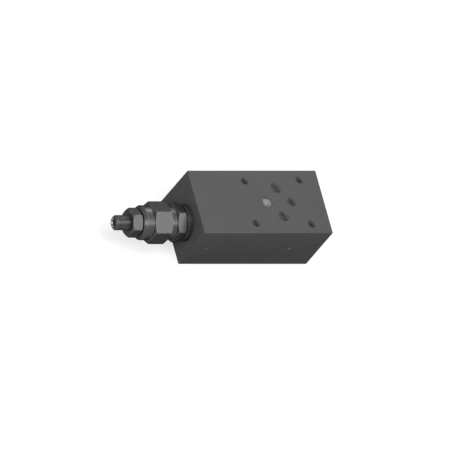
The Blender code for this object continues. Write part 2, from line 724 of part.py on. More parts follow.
def make_pressure_spring():
    """A closed compression spring whose ends are ground flat on the poppet and the plate."""
    face_low = FLAT_GAP - COLLAR_END
    face_high = PLATE_START - FLAT_GAP
    sunk = WIRE_DIAMETER / 2 * GROUND_SHARE
    points = list(spring_points(face_low + sunk, face_high - sunk))
    curve = bpy.data.curves.new("spring_wire", "CURVE")
    curve.dimensions = "3D"
    curve.bevel_depth = WIRE_DIAMETER / 2
    curve.bevel_resolution = 2
    curve.use_fill_caps = True
    curve.render_resolution_u = 0
    spline = curve.splines.new("POLY")
    spline.points.add(len(points) - 1)
    for point, spot in zip(spline.points, points):
        point.co = (*spot, 1.0)
    wire = add_object("spring_wire", curve, CUTTERS)
    graph = bpy.context.evaluated_depsgraph_get()
    mesh = bpy.data.meshes.new_from_object(wire.evaluated_get(graph))
    bpy.data.objects.remove(wire, do_unlink=True)
    welded = bmesh.new()
    welded.from_mesh(mesh)
    bmesh.ops.remove_doubles(welded, verts=welded.verts, dist=0.00001)
    bmesh.ops.recalc_face_normals(welded, faces=welded.faces)
    welded.to_mesh(mesh)
    welded.free()
    spring = add_object("pressure_spring", mesh, VALVE, CARTRIDGE_AXIS)
    outside = COIL_DIAMETER + 2 * WIRE_DIAMETER
    ground = rod("ground_ends", outside, face_low, face_high, SMALL_STEPS, CUTTERS, CARTRIDGE_AXIS)
    boolean(spring, ground, "INTERSECT")
    return settle(spring, SPRING_STEEL)


def make_spring_plate():
    """The guide that turns with the spring and takes the push of the adjusting screw."""
    plate = SPRING_BORE / 2 - PLATE_CLEARANCE
    spigot = SPRING_SPIGOT_DIAMETER / 2
    tip = PLATE_START - SPRING_SPIGOT_LENGTH
    outline = [
        (0.0, PLATE_END),
        (plate - TURNED_CHAMFER, PLATE_END),
        (plate, PLATE_END - TURNED_CHAMFER),
        (plate, PLATE_START),
        (spigot, PLATE_START),
        (spigot, tip + TURNED_CHAMFER),
        (spigot - TURNED_CHAMFER, tip),
        (0.0, tip),
    ]
    piece = turned("spring_plate", outline, MEDIUM_STEPS, VALVE, CARTRIDGE_AXIS)
    return settle(piece, HARD_STEEL)


def make_adjusting_screw():
    """The sealed piston inside the cap and the stem with a hexagon socket outside it."""
    stem = SCREW_DIAMETER / 2
    piston = SPRING_BORE / 2 - THREAD_GAP
    groove = SPRING_BORE / 2 - SCREW_RING_CORD - 2 * SEAL_GAP
    outline = [
        (0.0, SCREW_END),
        (stem - SCREW_CHAMFER, SCREW_END),
        (stem, SCREW_END - SCREW_CHAMFER),
        (stem, PISTON_END),
        (piston, PISTON_END),
        (piston, PISTON_GROOVE_END),
        (groove, PISTON_GROOVE_END),
        (groove, PISTON_GROOVE_START),
        (piston, PISTON_GROOVE_START),
        (piston, PISTON_START),
        (0.0, PISTON_START),
    ]
    screw = turned("adjusting_screw", outline, MEDIUM_STEPS, VALVE, CARTRIDGE_AXIS)
    corners = across_corners(SCREW_SOCKET)
    floor = SCREW_END - SCREW_SOCKET_DEPTH
    above = SCREW_END + CUT_PAST
    key = rod("screw_socket", corners, floor, above, 6, CUTTERS, CARTRIDGE_AXIS)
    boolean(screw, key, "DIFFERENCE")
    lead = corners / 2 + SOCKET_LEAD
    cone = [(0.0, above), (lead + CUT_PAST, above), (0.0, SCREW_END - lead)]
    countersink = turned("socket_lead", cone, SMALL_STEPS, CUTTERS, CARTRIDGE_AXIS)
    boolean(screw, countersink, "DIFFERENCE")
    return settle(screw, CARTRIDGE_STEEL)


def make_screw_seals():
    outer = SPRING_BORE - 2 * SEAL_GAP
    inner = outer - 2 * SCREW_RING_CORD
    middle = PISTON_GROOVE_START + FLAT_GAP + SCREW_RING_CORD / 2
    o_ring("screw_o_ring", outer, SCREW_RING_CORD, middle, CARTRIDGE_AXIS)
    high = PISTON_GROOVE_END - FLAT_GAP
    flat_ring("screw_backup_ring", inner, outer, high - BACKUP_THICKNESS, high, BACKUP_PLASTIC)


def make_spring_cap():
    """The hexagonal cap over the spring, with a ring and a cone that the lock nut sits on."""
    ring = CAP_RING_DIAMETER / 2
    end = CAP_END_DIAMETER / 2
    root = CAP_RING_START - CUT_PAST
    outline = [(0.0, CAP_END), (end, CAP_END), (ring, CAP_CONE_START), (ring, root), (0.0, root)]
    cap = turned("spring_cap", outline, LARGE_STEPS, VALVE, CARTRIDGE_AXIS)
    hexagonal = hexagon(
        "cap_hex", CAP_HEX, CAP_START, CAP_RING_START, CAP_HEX_BACK_FACE, CAP_HEX_FACE, CUTTERS
    )
    boolean(cap, hexagonal, "UNION")
    bores = [
        (0.0, CAP_END + CUT_PAST),
        (SCREW_HOLE_DIAMETER / 2, CAP_END + CUT_PAST),
        (SCREW_HOLE_DIAMETER / 2, CAP_BORE_END),
        (SPRING_BORE / 2, CAP_BORE_END),
        (SPRING_BORE / 2, CAP_MOUTH_END),
        (CAP_MOUTH_DIAMETER / 2, CAP_MOUTH_END),
        (CAP_MOUTH_DIAMETER / 2, CAP_START - CUT_PAST),
        (0.0, CAP_START - CUT_PAST),
    ]
    boolean(cap, turned("cap_bores", bores, MEDIUM_STEPS, CUTTERS, CARTRIDGE_AXIS), "DIFFERENCE")
    return settle(cap, CARTRIDGE_STEEL)


def make_lock_nut():
    """The nut that locks the adjusting screw, recessed for a seal on the thread."""
    nut = hexagon("lock_nut", NUT_HEX, NUT_START, NUT_END, NUT_FACE, NUT_FACE, VALVE)
    recess = NUT_SEAL_DIAMETER / 2 + SEAL_GAP
    hole = SCREW_HOLE_DIAMETER / 2
    floor = NUT_START + NUT_RING_CORD
    bores = [
        (0.0, NUT_END + CUT_PAST),
        (hole, NUT_END + CUT_PAST),
        (hole, floor),
        (recess, floor),
        (recess, NUT_START - CUT_PAST),
        (0.0, NUT_START - CUT_PAST),
    ]
    boolean(nut, turned("nut_bores", bores, MEDIUM_STEPS, CUTTERS, CARTRIDGE_AXIS), "DIFFERENCE")
    return settle(nut, CARTRIDGE_STEEL)


def make_nut_seal():
    middle = NUT_START - FLAT_GAP + NUT_RING_CORD / 2
    return o_ring("lock_nut_seal", NUT_SEAL_DIAMETER, NUT_RING_CORD, middle, CARTRIDGE_AXIS)


make_valve_block()
make_face_seals()
make_passage_plug()
make_cartridge_body()
make_body_seals()
make_valve_seat()
make_poppet()
make_pressure_spring()
make_spring_plate()
make_adjusting_screw()
make_screw_seals()
make_spring_cap()
make_lock_nut()
make_nut_seal()
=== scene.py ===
# %% [markdown]
# # A hydraulic sandwich valve, dressed for its picture
#
# The valve is a ported steel block with a screw-in relief cartridge on its left end. Its exact
# solids are ready when this script starts: they are the frame, in metres, with the origin on the
# underside of the block between its four ports. +X runs away from the cartridge, -Y is the front.
#
# This lesson gives those solids their finished surfaces. Turned and hexagonal pieces are made
# again with fine facets and broken edges, the block is drilled again with clean hole mouths, and
# every metal, rubber and plastic gets a procedural material.

# %% Load the frame
import math

import bmesh
import bpy
from mathutils import Euler, Matrix, Vector


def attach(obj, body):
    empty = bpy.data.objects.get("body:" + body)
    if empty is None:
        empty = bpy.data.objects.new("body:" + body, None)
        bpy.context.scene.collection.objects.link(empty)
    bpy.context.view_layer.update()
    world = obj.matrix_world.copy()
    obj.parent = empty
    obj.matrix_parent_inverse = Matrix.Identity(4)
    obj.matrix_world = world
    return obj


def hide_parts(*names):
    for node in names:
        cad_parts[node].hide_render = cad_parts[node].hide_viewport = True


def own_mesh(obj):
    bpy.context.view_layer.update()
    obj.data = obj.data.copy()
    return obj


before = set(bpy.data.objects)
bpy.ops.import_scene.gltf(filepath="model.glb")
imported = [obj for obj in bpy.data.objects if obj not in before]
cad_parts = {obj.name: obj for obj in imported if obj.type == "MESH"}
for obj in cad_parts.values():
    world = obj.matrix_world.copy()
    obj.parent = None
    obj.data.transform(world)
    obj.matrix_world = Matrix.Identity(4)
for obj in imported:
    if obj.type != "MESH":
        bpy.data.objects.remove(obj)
bpy.context.scene.view_settings.view_transform = "Standard"
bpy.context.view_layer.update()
MM = 0.001
print("solids in the frame:", len(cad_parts))


def new_object(name, data):
    """An object that shows some data, in the scene."""
    made = bpy.data.objects.new(name, data)
    bpy.context.scene.collection.objects.link(made)
    return made


# %% [markdown]
# ## The camera
#
# The reference picture has no perspective: edges that are parallel on the valve stay parallel in
# it. So the camera is orthographic, and it is described by three directions: what lies to the
# right, what lies up, and the way back towards the camera. They were worked out from where the
# block's corners lie in the picture. The picture is 452 pixels wide.

# %% Camera
IMAGE_SIDE = 452
PIXELS_PER_METRE = 1565.0
VIEW_RIGHT = Vector((0.8686, -0.2456, 0.4303))
VIEW_UP = Vector((0.0, 0.8684, 0.4958))
AIMED_AT = Vector((-33.52, -8.07, 22.87)) * MM
CAMERA_DISTANCE = 0.6


def make_camera():
    """An orthographic camera turned to the picture's three directions."""
    right = VIEW_RIGHT.normalized()
    back = right.cross(VIEW_UP).normalized()
    up = back.cross(right)
    data = bpy.data.cameras.new("camera")
    data.type = "ORTHO"
    data.ortho_scale = IMAGE_SIDE / PIXELS_PER_METRE
    camera = new_object("camera", data)
    turn = Matrix((right, up, back)).transposed().to_4x4()
    camera.matrix_world = Matrix.Translation(AIMED_AT + back * CAMERA_DISTANCE) @ turn
    bpy.context.scene.camera = camera
    return back


TOWARDS_CAMERA = make_camera()
print("the camera looks from", [round(part, 4) for part in TOWARDS_CAMERA])

# %% [markdown]
# ## Helpers for node trees
#
# Materials, the world and the floor are all networks of nodes. A few short functions keep the
# later cells readable: one adds a node with its settings, one does arithmetic on two values that
# may each be a number or another node's output, and one blends two colours.

# %% Small helpers for node trees
def feed(tree, socket, value):
    """Links an output to a socket, or sets a plain value on it."""
    if isinstance(value, bpy.types.NodeSocket):
        tree.links.new(value, socket)
    else:
        socket.default_value = value


def add_node(tree, kind, settings=None, **inputs):
    """A node with its properties set and its inputs fed. An underscore stands for a space."""
    node = tree.nodes.new(kind)
    for name, value in (settings or {}).items():
        setattr(node, name, value)
    for name, value in inputs.items():
        feed(tree, node.inputs[name.replace("_", " ")], value)
    return node


def math_node(tree, operation, *values):
    """A Math node on its values, each an output or a number. Returns its output."""
    node = tree.nodes.new("ShaderNodeMath")
    node.operation = operation
    for slot, value in enumerate(values):
        feed(tree, node.inputs[slot], value)
    return node.outputs[0]


def plus(tree, *values):
    return math_node(tree, "ADD", *values)


def minus(tree, *values):
    return math_node(tree, "SUBTRACT", *values)


def times(tree, *values):
    return math_node(tree, "MULTIPLY", *values)


def over(tree, *values):
    return math_node(tree, "DIVIDE", *values)


def mix_colour(tree, factor, first, second):
    """Two colours blended by a factor. Returns the colour output."""
    node = add_node(tree, "ShaderNodeMix", {"data_type": "RGBA"})
    feed(tree, node.inputs[0], factor)
    feed(tree, node.inputs[6], first)
    feed(tree, node.inputs[7], second)
    return node.outputs[2]


def seen_directly(tree):
    """1 for camera, glossy and transmission rays, and 0 for the rest."""
    rays = tree.nodes.new("ShaderNodeLightPath")
    seen = math_node(tree, "MAXIMUM", rays.outputs["Is Camera Ray"], rays.outputs["Is Glossy Ray"])
    return math_node(tree, "MAXIMUM", seen, rays.outputs["Is Transmission Ray"])


# %% [markdown]
# ## Studio: world and floor
#
# The picture's ground is plain white. A white floor lit until it burns out would throw far too
# much light back at a dark object, so the floor is a pale matte surface, and only what the camera
# sees directly, or in a reflection, is lifted to white by Light Path. The object's shadow stays.

# %% World and floor
WORLD_LIGHT = 0.05
FLOOR_COLOUR = (0.32, 0.32, 0.32, 1.0)
FLOOR_LIFT = 0.72
FLOOR_HALF_SIDE = 3.0
FLOOR_HEIGHT = -0.0001  # a hair under the block, so that no two faces share a plane


def make_world():
    """White where it is seen, and much weaker as a light on matte surfaces."""
    world = bpy.data.worlds.new("studio")
    world.use_nodes = True
    bpy.context.scene.world = world
    tree = world.node_tree
    background = tree.nodes["Background"]
    background.inputs["Color"].default_value = (1.0, 1.0, 1.0, 1.0)
    strength = math_node(tree, "MAXIMUM", seen_directly(tree), WORLD_LIGHT)
    tree.links.new(strength, background.inputs["Strength"])


def make_floor():
    """A pale matte floor that keeps the shadow."""
    bpy.ops.mesh.primitive_plane_add(size=2 * FLOOR_HALF_SIDE, location=(0.0, 0.0, FLOOR_HEIGHT))
    floor = bpy.context.object
    floor.name = "floor"
    material = bpy.data.materials.new("pale_floor")
    material.use_nodes = True
    tree = material.node_tree
    tree.nodes.clear()
    matte = add_node(tree, "ShaderNodeBsdfDiffuse", Color=FLOOR_COLOUR)
    strength = times(tree, seen_directly(tree), FLOOR_LIFT)
    lift = add_node(tree, "ShaderNodeEmission", Strength=strength)
    both = tree.nodes.new("ShaderNodeAddShader")
    tree.links.new(matte.outputs[0], both.inputs[0])
    tree.links.new(lift.outputs[0], both.inputs[1])
    add_node(tree, "ShaderNodeOutputMaterial", Surface=both.outputs[0])
    floor.data.materials.append(material)


make_world()
make_floor()

# %% [markdown]
# ## Lamps
#
# In the picture the top of the block is about twice as bright as its end and its front, and the
# flats that face the camera are brighter still. A broad key lamp hangs nearly overhead. A second
# lamp stands about where the front upper flats of the hexagons mirror it, and a little left of
# that, so that the block shades less of them. Two more do the same for the cone and for the
# chamfers, and light the left end, and one behind the valve keeps its back from going black.

# %% Lamps
VALVE_MIDDLE = Vector((-30.0, -2.0, 20.0)) * MM
LAMP_DISTANCE = 1.4


def area_lamp(name, direction, side, watts):
    """A square soft lamp that looks at the valve from a direction."""
    data = bpy.data.lights.new(name, "AREA")
    data.size = side
    data.energy = watts
    lamp = new_object(name, data)
    towards = Vector(direction).normalized()
    lamp.location = VALVE_MIDDLE + towards * LAMP_DISTANCE
    lamp.rotation_mode = "QUATERNION"
    lamp.rotation_quaternion = towards.to_track_quat("Z", "Y")


area_lamp("key", (-0.12, -0.10, 0.985), 0.8, 14.0)
area_lamp("flats", (0.35, -0.47, 0.81), 0.6, 5.5)
area_lamp("cones", (-0.907, -0.27, 0.46), 0.3, 4.5)
area_lamp("chamfers", (-1.0, -0.02, 0.04), 0.3, 2.0)
area_lamp("back", (0.50, 0.75, 0.43), 0.6, 6.5)

# %% [markdown]
# ## Shared surface effects
#
# Every metal piece here shows some of the same things: the grain of its phosphate coat, the fine
# rings that a lathe leaves, paler metal where an edge rubs, and faint smudges from handling. Each
# effect is a node group, built once, so that every material can use it with its own values.

# %% A builder for node groups
def add_socket(tree, label, way, kind):
    return tree.interface.new_socket(label, in_out=way, socket_type="NodeSocket" + kind)


def open_group(name, kind, inputs, outputs):
    """An empty node group. inputs holds kinds and values. Returns its tree and both its ends."""
    tree = bpy.data.node_groups.new(name, kind + "NodeTree")
    for label, (socket_kind, value) in inputs.items():
        socket = add_socket(tree, label, "INPUT", socket_kind)
        if value is not None:
            socket.default_value = value
    for label, socket_kind in outputs.items():
        add_socket(tree, label, "OUTPUT", socket_kind)
    start = tree.nodes.new("NodeGroupInput")
    end = tree.nodes.new("NodeGroupOutput")
    return tree, start.outputs, end.inputs


def shader_group(name, sizes, outputs):
    """An empty shader group that reads a place and named sizes."""
    inputs = {"Place": ("Vector", None)}
    inputs.update({label: ("Float", value) for label, value in sizes.items()})
    return open_group(name, "Shader", inputs, dict.fromkeys(outputs, "Float"))


def cloud(tree, place, scale, detail):
    """Soft noise in space, as a value between 0 and 1."""
    node = add_node(tree, "ShaderNodeTexNoise", Vector=place, Scale=scale, Detail=detail)
    return node.outputs[0]


def streaks(tree, distance, spacing):
    """Noise of one dimension, for marks that repeat as a distance grows."""
    settings = {"noise_dimensions": "1D"}
    steps = over(tree, distance, spacing)
    node = add_node(tree, "ShaderNodeTexNoise", settings, W=steps, Scale=1.0, Detail=3.0)
    return node.outputs[0]


def between(tree, value, low, high):
    """A value stretched so that low becomes 0 and high becomes 1."""
    return add_node(tree, "ShaderNodeMapRange", Value=value, From_Min=low, From_Max=high).outputs[0]


# %% Coat grain and smudges
def make_coat_grain():
    """The crystals of a phosphate coat: fine cells broken up by a finer noise."""
    tree, given, out = shader_group("coat_grain", {"Size": 0.0004}, ["Grain"])
    scale = over(tree, 1.0, given["Size"])
    cells = add_node(tree, "ShaderNodeTexVoronoi", Vector=given["Place"], Scale=scale)
    fine = cloud(tree, given["Place"], times(tree, scale, 2.3), 4.0)
    coarse = times(tree, cells.outputs["Distance"], 0.6)
    both = plus(tree, coarse, times(tree, fine, 0.55))
    tree.links.new(both, out["Grain"])
    return tree


def make_smudges():
    """Broad soft patches where oil and hands have left the coat a little darker and glossier."""
    tree, given, out = shader_group("smudges", {"Size": 0.03}, ["Smudge"])
    scale = over(tree, 1.0, given["Size"])
    patches = add_node(tree, "ShaderNodeTexNoise", Vector=given["Place"], Scale=scale)
    patches.inputs["Detail"].default_value = 3.0
    patches.inputs["Distortion"].default_value = 0.4
    tree.links.new(between(tree, patches.outputs[0], 0.3, 0.7), out["Smudge"])
    return tree


COAT_GRAIN = make_coat_grain()
SMUDGES = make_smudges()

# %% [markdown]
# Lathe marks are rings about the cartridge's axis. On a cylinder they change along the axis, and
# on an end face they change with the distance from it, so one noise reads each of the two and the
# marks follow any turned shape without a map.

# %% Lathe marks
AXIS_Y = -4.0 * MM
AXIS_Z = 20.0 * MM


def from_axis(tree, parts):
    """How far a place is across and above the cartridge's axis, and its distance from it."""
    across = minus(tree, parts["Y"], AXIS_Y)
    above = minus(tree, parts["Z"], AXIS_Z)
    squares = times(tree, across, across)
    squares = plus(tree, squares, times(tree, above, above))
    return across, above, math_node(tree, "SQRT", squares)


def make_lathe_marks():
    tree, given, out = shader_group("lathe_marks", {"Spacing": 0.0002}, ["Rings"])
    parts = add_node(tree, "ShaderNodeSeparateXYZ", Vector=given["Place"]).outputs
    radius = from_axis(tree, parts)[2]
    along = streaks(tree, parts["X"], given["Spacing"])
    outward = streaks(tree, radius, given["Spacing"])
    both = times(tree, plus(tree, along, outward), 0.5)
    tree.links.new(both, out["Rings"])
    return tree


LATHE_MARKS = make_lathe_marks()

# %% [markdown]
# The block is milled, so its faces carry faint strokes that run along it. A noise that is squeezed
# across the stroke and stretched along it gives them on the top, the front and the back.

# %% Milling strokes
def make_milling_strokes():
    tree, given, out = shader_group("milling_strokes", {"Width": 0.0005}, ["Strokes"])
    fine = over(tree, 1.0, given["Width"])
    coarse = times(tree, fine, 0.02)
    factors = add_node(tree, "ShaderNodeCombineXYZ", X=coarse, Y=fine, Z=fine)
    stretched = add_node(tree, "ShaderNodeVectorMath", {"operation": "MULTIPLY"})
    tree.links.new(given["Place"], stretched.inputs[0])
    tree.links.new(factors.outputs[0], stretched.inputs[1])
    tree.links.new(cloud(tree, stretched.outputs[0], 1.0, 3.0), out["Strokes"])
    return tree


MILLING_STROKES = make_milling_strokes()

# %% [markdown]
# Wear sits where metal stands out. Each mesh is given a number at its points, called worn_edge:
# 1 on an edge that stands out, -1 in an inside corner and 0 between them. The group breaks the
# edge up with noise, and gives the inside corners as a second mask, which paints shade there.

# %% Worn edges and painted shade in corners
def make_edge_masks():
    tree, given, out = shader_group("edge_masks", {"Patch": 0.003}, ["Worn", "Corner_shade"])
    level = add_node(tree, "ShaderNodeAttribute", {"attribute_name": "worn_edge"}).outputs["Fac"]
    scale = over(tree, 1.0, given["Patch"])
    ragged = between(tree, cloud(tree, given["Place"], scale, 5.0), 0.35, 0.62)
    standing = math_node(tree, "MAXIMUM", level, 0.0)
    # the inside corners' mask is for painted shade
    sunk = math_node(tree, "MAXIMUM", times(tree, level, -1.0), 0.0)
    tree.links.new(times(tree, standing, ragged), out["Worn"])
    tree.links.new(sunk, out["Corner_shade"])
    return tree


EDGE_MASKS = make_edge_masks()
print("shader groups:", [group.name for group in bpy.data.node_groups])

# %% [markdown]
# ## Materials
#
# A phosphate coat is nearly black, matte and a little crystalline. Steel under it still gives a
# soft metallic glow where a surface faces the light, so part of the shader is metallic, with a
# black edge tint that keeps surfaces seen at a slant dark. Everything that changes over the
# surface comes from the groups, and every plain number sits on the shader's own socket.

# %% Start a material
def group_node(tree, group, place, **sizes):
    """One of the shared effects, read at the place given. Returns its outputs."""
    node = add_node(tree, "ShaderNodeGroup", {"node_tree": group}, Place=place, **sizes)
    return node.outputs


def start_material(name, metallic, level):
    """A Principled material. Returns it with its tree, its shader and its Object coordinates."""
    material = bpy.data.materials.new(name)
    material.use_nodes = True
    tree = material.node_tree
    shader = tree.nodes["Principled BSDF"]
    shader.inputs["Metallic"].default_value = metallic
    shader.inputs["Specular IOR Level"].default_value = level
    place = tree.nodes.new("ShaderNodeTexCoord").outputs["Object"]
    return material, tree, shader, place


def around(tree, middle, spread, value):
    """A number that swings about a middle as a value goes from 0 to 1."""
    offset = times(tree, minus(tree, value, 0.5), 2 * spread)
    return plus(tree, offset, middle)


def feed_shader(tree, shader, colour, roughness, height, strength, distance):
    """Links what varies over a surface: its colour, its roughness and the height of its bumps."""
    bump = add_node(tree, "ShaderNodeBump", Height=height, Strength=strength, Distance=distance)
    tree.links.new(colour, shader.inputs["Base Color"])
    tree.links.new(roughness, shader.inputs["Roughness"])
    tree.links.new(bump.outputs[0], shader.inputs["Normal"])


# %% Coated steel, milled or turned
NO_TINT = (0.0, 0.0, 0.0, 1.0)


def coated_steel(name, look):
    """Phosphated steel. look holds the colours, the gloss and how its tool marks are made."""
    material, tree, shader, place = start_material(name, look["metallic"], look["level"])
    shader.inputs["Specular Tint"].default_value = NO_TINT
    grain = group_node(tree, COAT_GRAIN, place, Size=look["grain"])["Grain"]
    smudge = group_node(tree, SMUDGES, place, Size=0.025)["Smudge"]
    masks = group_node(tree, EDGE_MASKS, place, Patch=0.0025)
    if look["tool"] == "milled":
        marks = group_node(tree, MILLING_STROKES, place, Width=0.0006)["Strokes"]
    else:
        marks = group_node(tree, LATHE_MARKS, place, Spacing=0.00025)["Rings"]
    coat = mix_colour(tree, grain, look["dark"], look["pale"])
    coat = mix_colour(tree, times(tree, smudge, 0.35), coat, look["dark"])
    coat = mix_colour(tree, times(tree, masks["Worn"], look["wear"]), coat, look["bare"])
    # Painted shade: inside corners are darkened towards the dark coat.
    coat = mix_colour(tree, times(tree, masks["Corner_shade"], 0.6), coat, look["dark"])
    # Hole walls: bare drilled steel, and painted light that lifts the shade inside the holes.
    bored_painted_light = add_node(tree, "ShaderNodeAttribute", {"attribute_name": "bored_painted_light"}).outputs["Fac"]
    coat = mix_colour(tree, bored_painted_light, coat, mix_colour(tree, grain, look["bored_painted_light"], look["bare"]))
    rough = around(tree, look["roughness"], 0.06, grain)
    rough = minus(tree, rough, times(tree, smudge, 0.05))
    height = plus(tree, times(tree, marks, 0.6), times(tree, grain, 0.4))
    feed_shader(tree, shader, coat, rough, height, look["bump"], 0.00004)
    return material


BLOCK_STEEL = coated_steel("block_steel", {
    "dark": (0.081, 0.082, 0.084, 1.0),
    "pale": (0.110, 0.110, 0.112, 1.0),
    "bare": (0.26, 0.26, 0.26, 1.0),
    # hole walls, paler than bare metal: partly painted light against the shade in holes
    "bored_painted_light": (0.30, 0.30, 0.30, 1.0),
    "metallic": 0.1,
    "level": 0.02,
    "roughness": 0.5,
    "grain": 0.0005,
    "tool": "milled",
    "wear": 0.35,
    "bump": 0.3,
})
CARTRIDGE_STEEL = coated_steel("cartridge_steel", {
    "dark": (0.066, 0.067, 0.069, 1.0),
    "pale": (0.094, 0.094, 0.096, 1.0),
    "bare": (0.26, 0.26, 0.26, 1.0),
    # hole walls, paler than bare metal: partly painted light against the shade in holes
    "bored_painted_light": (0.34, 0.34, 0.34, 1.0),
    "metallic": 0.65,
    "level": 0.02,
    "roughness": 0.34,
    "grain": 0.0004,
    "tool": "turned",
    "wear": 0.4,
    "bump": 0.25,
})

# %% [markdown]
# Inside the cartridge the poppet, its seat and the spring plate are hardened and ground bright,
# and the spring is drawn wire with a film of oil. None of them shows while the valve is whole, but
# a cut through it does show them, so they get the same care.

# %% Ground steel and spring wire
def bright_steel(name, colour, roughness, spacing):
    """Bare steel with fine grinding rings, a trace of oil and painted shade in inside corners."""
    material, tree, shader, place = start_material(name, 1.0, 0.5)
    rings = group_node(tree, LATHE_MARKS, place, Spacing=spacing)["Rings"]
    smudge = group_node(tree, SMUDGES, place, Size=0.008)["Smudge"]
    masks = group_node(tree, EDGE_MASKS, place, Patch=0.001)
    oil_and_shade_tone = tuple(part * 0.72 for part in colour[:3]) + (1.0,)
    tone = mix_colour(tree, times(tree, smudge, 0.4), colour, oil_and_shade_tone)
    # Painted shade: inside corners are darkened to the oiled tone.
    tone = mix_colour(tree, times(tree, masks["Corner_shade"], 0.7), tone, oil_and_shade_tone)
    rough = around(tree, roughness, 0.08, rings)
    feed_shader(tree, shader, tone, rough, rings, 0.25, 0.00001)
    return material


HARD_STEEL = bright_steel("hard_steel", (0.42, 0.42, 0.44, 1.0), 0.28, 0.00012)
SPRING_STEEL = bright_steel("spring_steel", (0.30, 0.30, 0.32, 1.0), 0.34, 0.0003)


# %% Rubber and backup plastic
def soft_seal(name, colour, roughness, level):
    """Moulded nitrile or turned fluoropolymer, with a faint bloom on its surface."""
    material, tree, shader, place = start_material(name, 0.0, level)
    grain = group_node(tree, COAT_GRAIN, place, Size=0.0003)["Grain"]
    smudge = group_node(tree, SMUDGES, place, Size=0.004)["Smudge"]
    bloom = tuple(part * 1.2 + 0.01 for part in colour[:3]) + (1.0,)
    tone = mix_colour(tree, times(tree, smudge, 0.5), colour, bloom)
    rough = around(tree, roughness, 0.08, smudge)
    feed_shader(tree, shader, tone, rough, grain, 0.2, 0.00002)
    return material


SEAL_RUBBER = soft_seal("seal_rubber", (0.018, 0.018, 0.018, 1.0), 0.5, 0.35)
BACKUP_PLASTIC = soft_seal("backup_plastic", (0.76, 0.75, 0.70, 1.0), 0.45, 0.4)
print("materials:", [material.name for material in bpy.data.materials])

# %% [markdown]
# ## How a turned piece is made
#
# A turned piece is an outline swept round an axis. Two things make it look machined: every corner
# of the outline has a tiny arc that catches the light, and the sweep has many columns. A hexagon
# on a turned piece needs only one more idea: at each bearing round the axis, its outline reaches
# as far as the hexagon does there. So one sweep makes both, and the curved line where a chamfer
# meets a flat comes by itself.

# %% Outlines with tiny arcs
ARC_STEPS = 3
SUPPORT = 0.15  # a point this far past an arc keeps its shading and its wear to itself
BROKEN = 0.12  # the arc of an edge that was only broken
INSIDE = 0.2  # the arc that a tool leaves in an inside corner


def corner_points(before, corner, after, arc, level):
    """One corner of an outline as (radius, height, worn_edge) points, in mm."""
    corner = Vector(corner)
    back = Vector(before) - corner
    ahead = Vector(after) - corner
    if not arc:
        return [(*corner, level)]
    half = back.angle(ahead) / 2
    edge = 1.0 if back.x * ahead.y - back.y * ahead.x > 0.0 else -1.0
    reach = min(arc / math.tan(half), 0.35 * back.length, 0.35 * ahead.length)
    rests = [min(reach + SUPPORT, 0.45 * side.length) for side in (back, ahead)]
    back, ahead = back.normalized(), ahead.normalized()
    middle = corner + (back + ahead).normalized() * reach / math.cos(half)
    first = corner + back * reach - middle
    last = corner + ahead * reach - middle
    sweep = math.pi - 2 * half
    points = [(*(corner + back * rests[0]), level)]
    for step in range(ARC_STEPS + 1):
        angle = sweep * step / ARC_STEPS
        spot = first * math.sin(sweep - angle) + last * math.sin(angle)
        points.append((*(middle + spot / math.sin(sweep)), edge))
    points.append((*(corner + ahead * rests[1]), level))
    return points


def fine_outline(corners, closed):
    """An outline with its corners made fine. Each is (radius, height, arc, worn_edge level)."""
    points = []
    for index, given in enumerate(corners):
        corner = (*given, *(None, None, BROKEN, 0.0)[len(given) :])
        if not closed and index in (0, len(corners) - 1):
            points.append((*corner[:2], 0.0))
            continue
        before = corners[index - 1][:2]
        after = corners[(index + 1) % len(corners)][:2]
        points.extend(corner_points(before, corner[:2], after, *corner[2:]))
    return points


# %% Bearings and reach of a hexagon
SIXTH = math.pi / 3
HEX_CORNER_ARC = 0.35


def flat_angle(across_flats):
    """How far a flat runs to each side of its middle before the corner's arc begins."""
    half = across_flats / 2
    return math.atan((half - HEX_CORNER_ARC) * math.tan(SIXTH / 2) / half)


def off_corner(bearing):
    """The angle to the nearest of a hexagon's corners, which lie at 0, 60, 120 degrees, ..."""
    return (bearing + SIXTH / 2) % SIXTH - SIXTH / 2


def hex_reach(across_flats, bearing):
    """How far a hexagon with softened corners reaches at a bearing."""
    half = across_flats / 2
    off_flat = SIXTH / 2 - abs(off_corner(bearing))
    if off_flat <= flat_angle(across_flats) + 1e-6:
        return half / math.cos(off_flat)
    centre = (half - HEX_CORNER_ARC) / math.cos(SIXTH / 2)
    side = centre * math.sin(off_corner(bearing))
    return centre * math.cos(off_corner(bearing)) + math.sqrt(HEX_CORNER_ARC**2 - side**2)


def hex_bearings(across_flats, flat_steps=10, corner_steps=4):
    """Bearings that lie close together at a hexagon's corners."""
    edge = flat_angle(across_flats)
    gap = SIXTH - 2 * edge
    bearings = []
    for sector in range(6):
        middle = (sector + 0.5) * SIXTH
        bearings += [middle - edge + 2 * edge * step / flat_steps for step in range(flat_steps + 1)]
        bearings += [middle + edge + gap * step / corner_steps for step in range(1, corner_steps)]
    return bearings


def round_bearings(count):
    return [2 * math.pi * step / count for step in range(count)]


# %% [markdown]
# The sweep itself joins the same outline, taken at one bearing after another, into a skin of
# quads. Where the outline starts or ends on the axis, all columns share one point, so the skin
# closes there. An outline that never touches the axis is joined end to start, as a ring is.

# %% Sweep an outline round an axis
FACE_TURN = {
    "top": (0.0, 0.0, 0.0),
    "bottom": (math.pi, 0.0, 0.0),
    "right": (0.0, math.pi / 2, 0.0),
    "left": (0.0, -math.pi / 2, 0.0),
    "front": (math.pi / 2, 0.0, 0.0),
}


def stand_on(spot, face):
    """The matrix, in mm, that stands a turned shape on a face, with its heights going outwards."""
    return Matrix.Translation(Vector(spot)) @ Euler(FACE_TURN[face]).to_matrix().to_4x4()


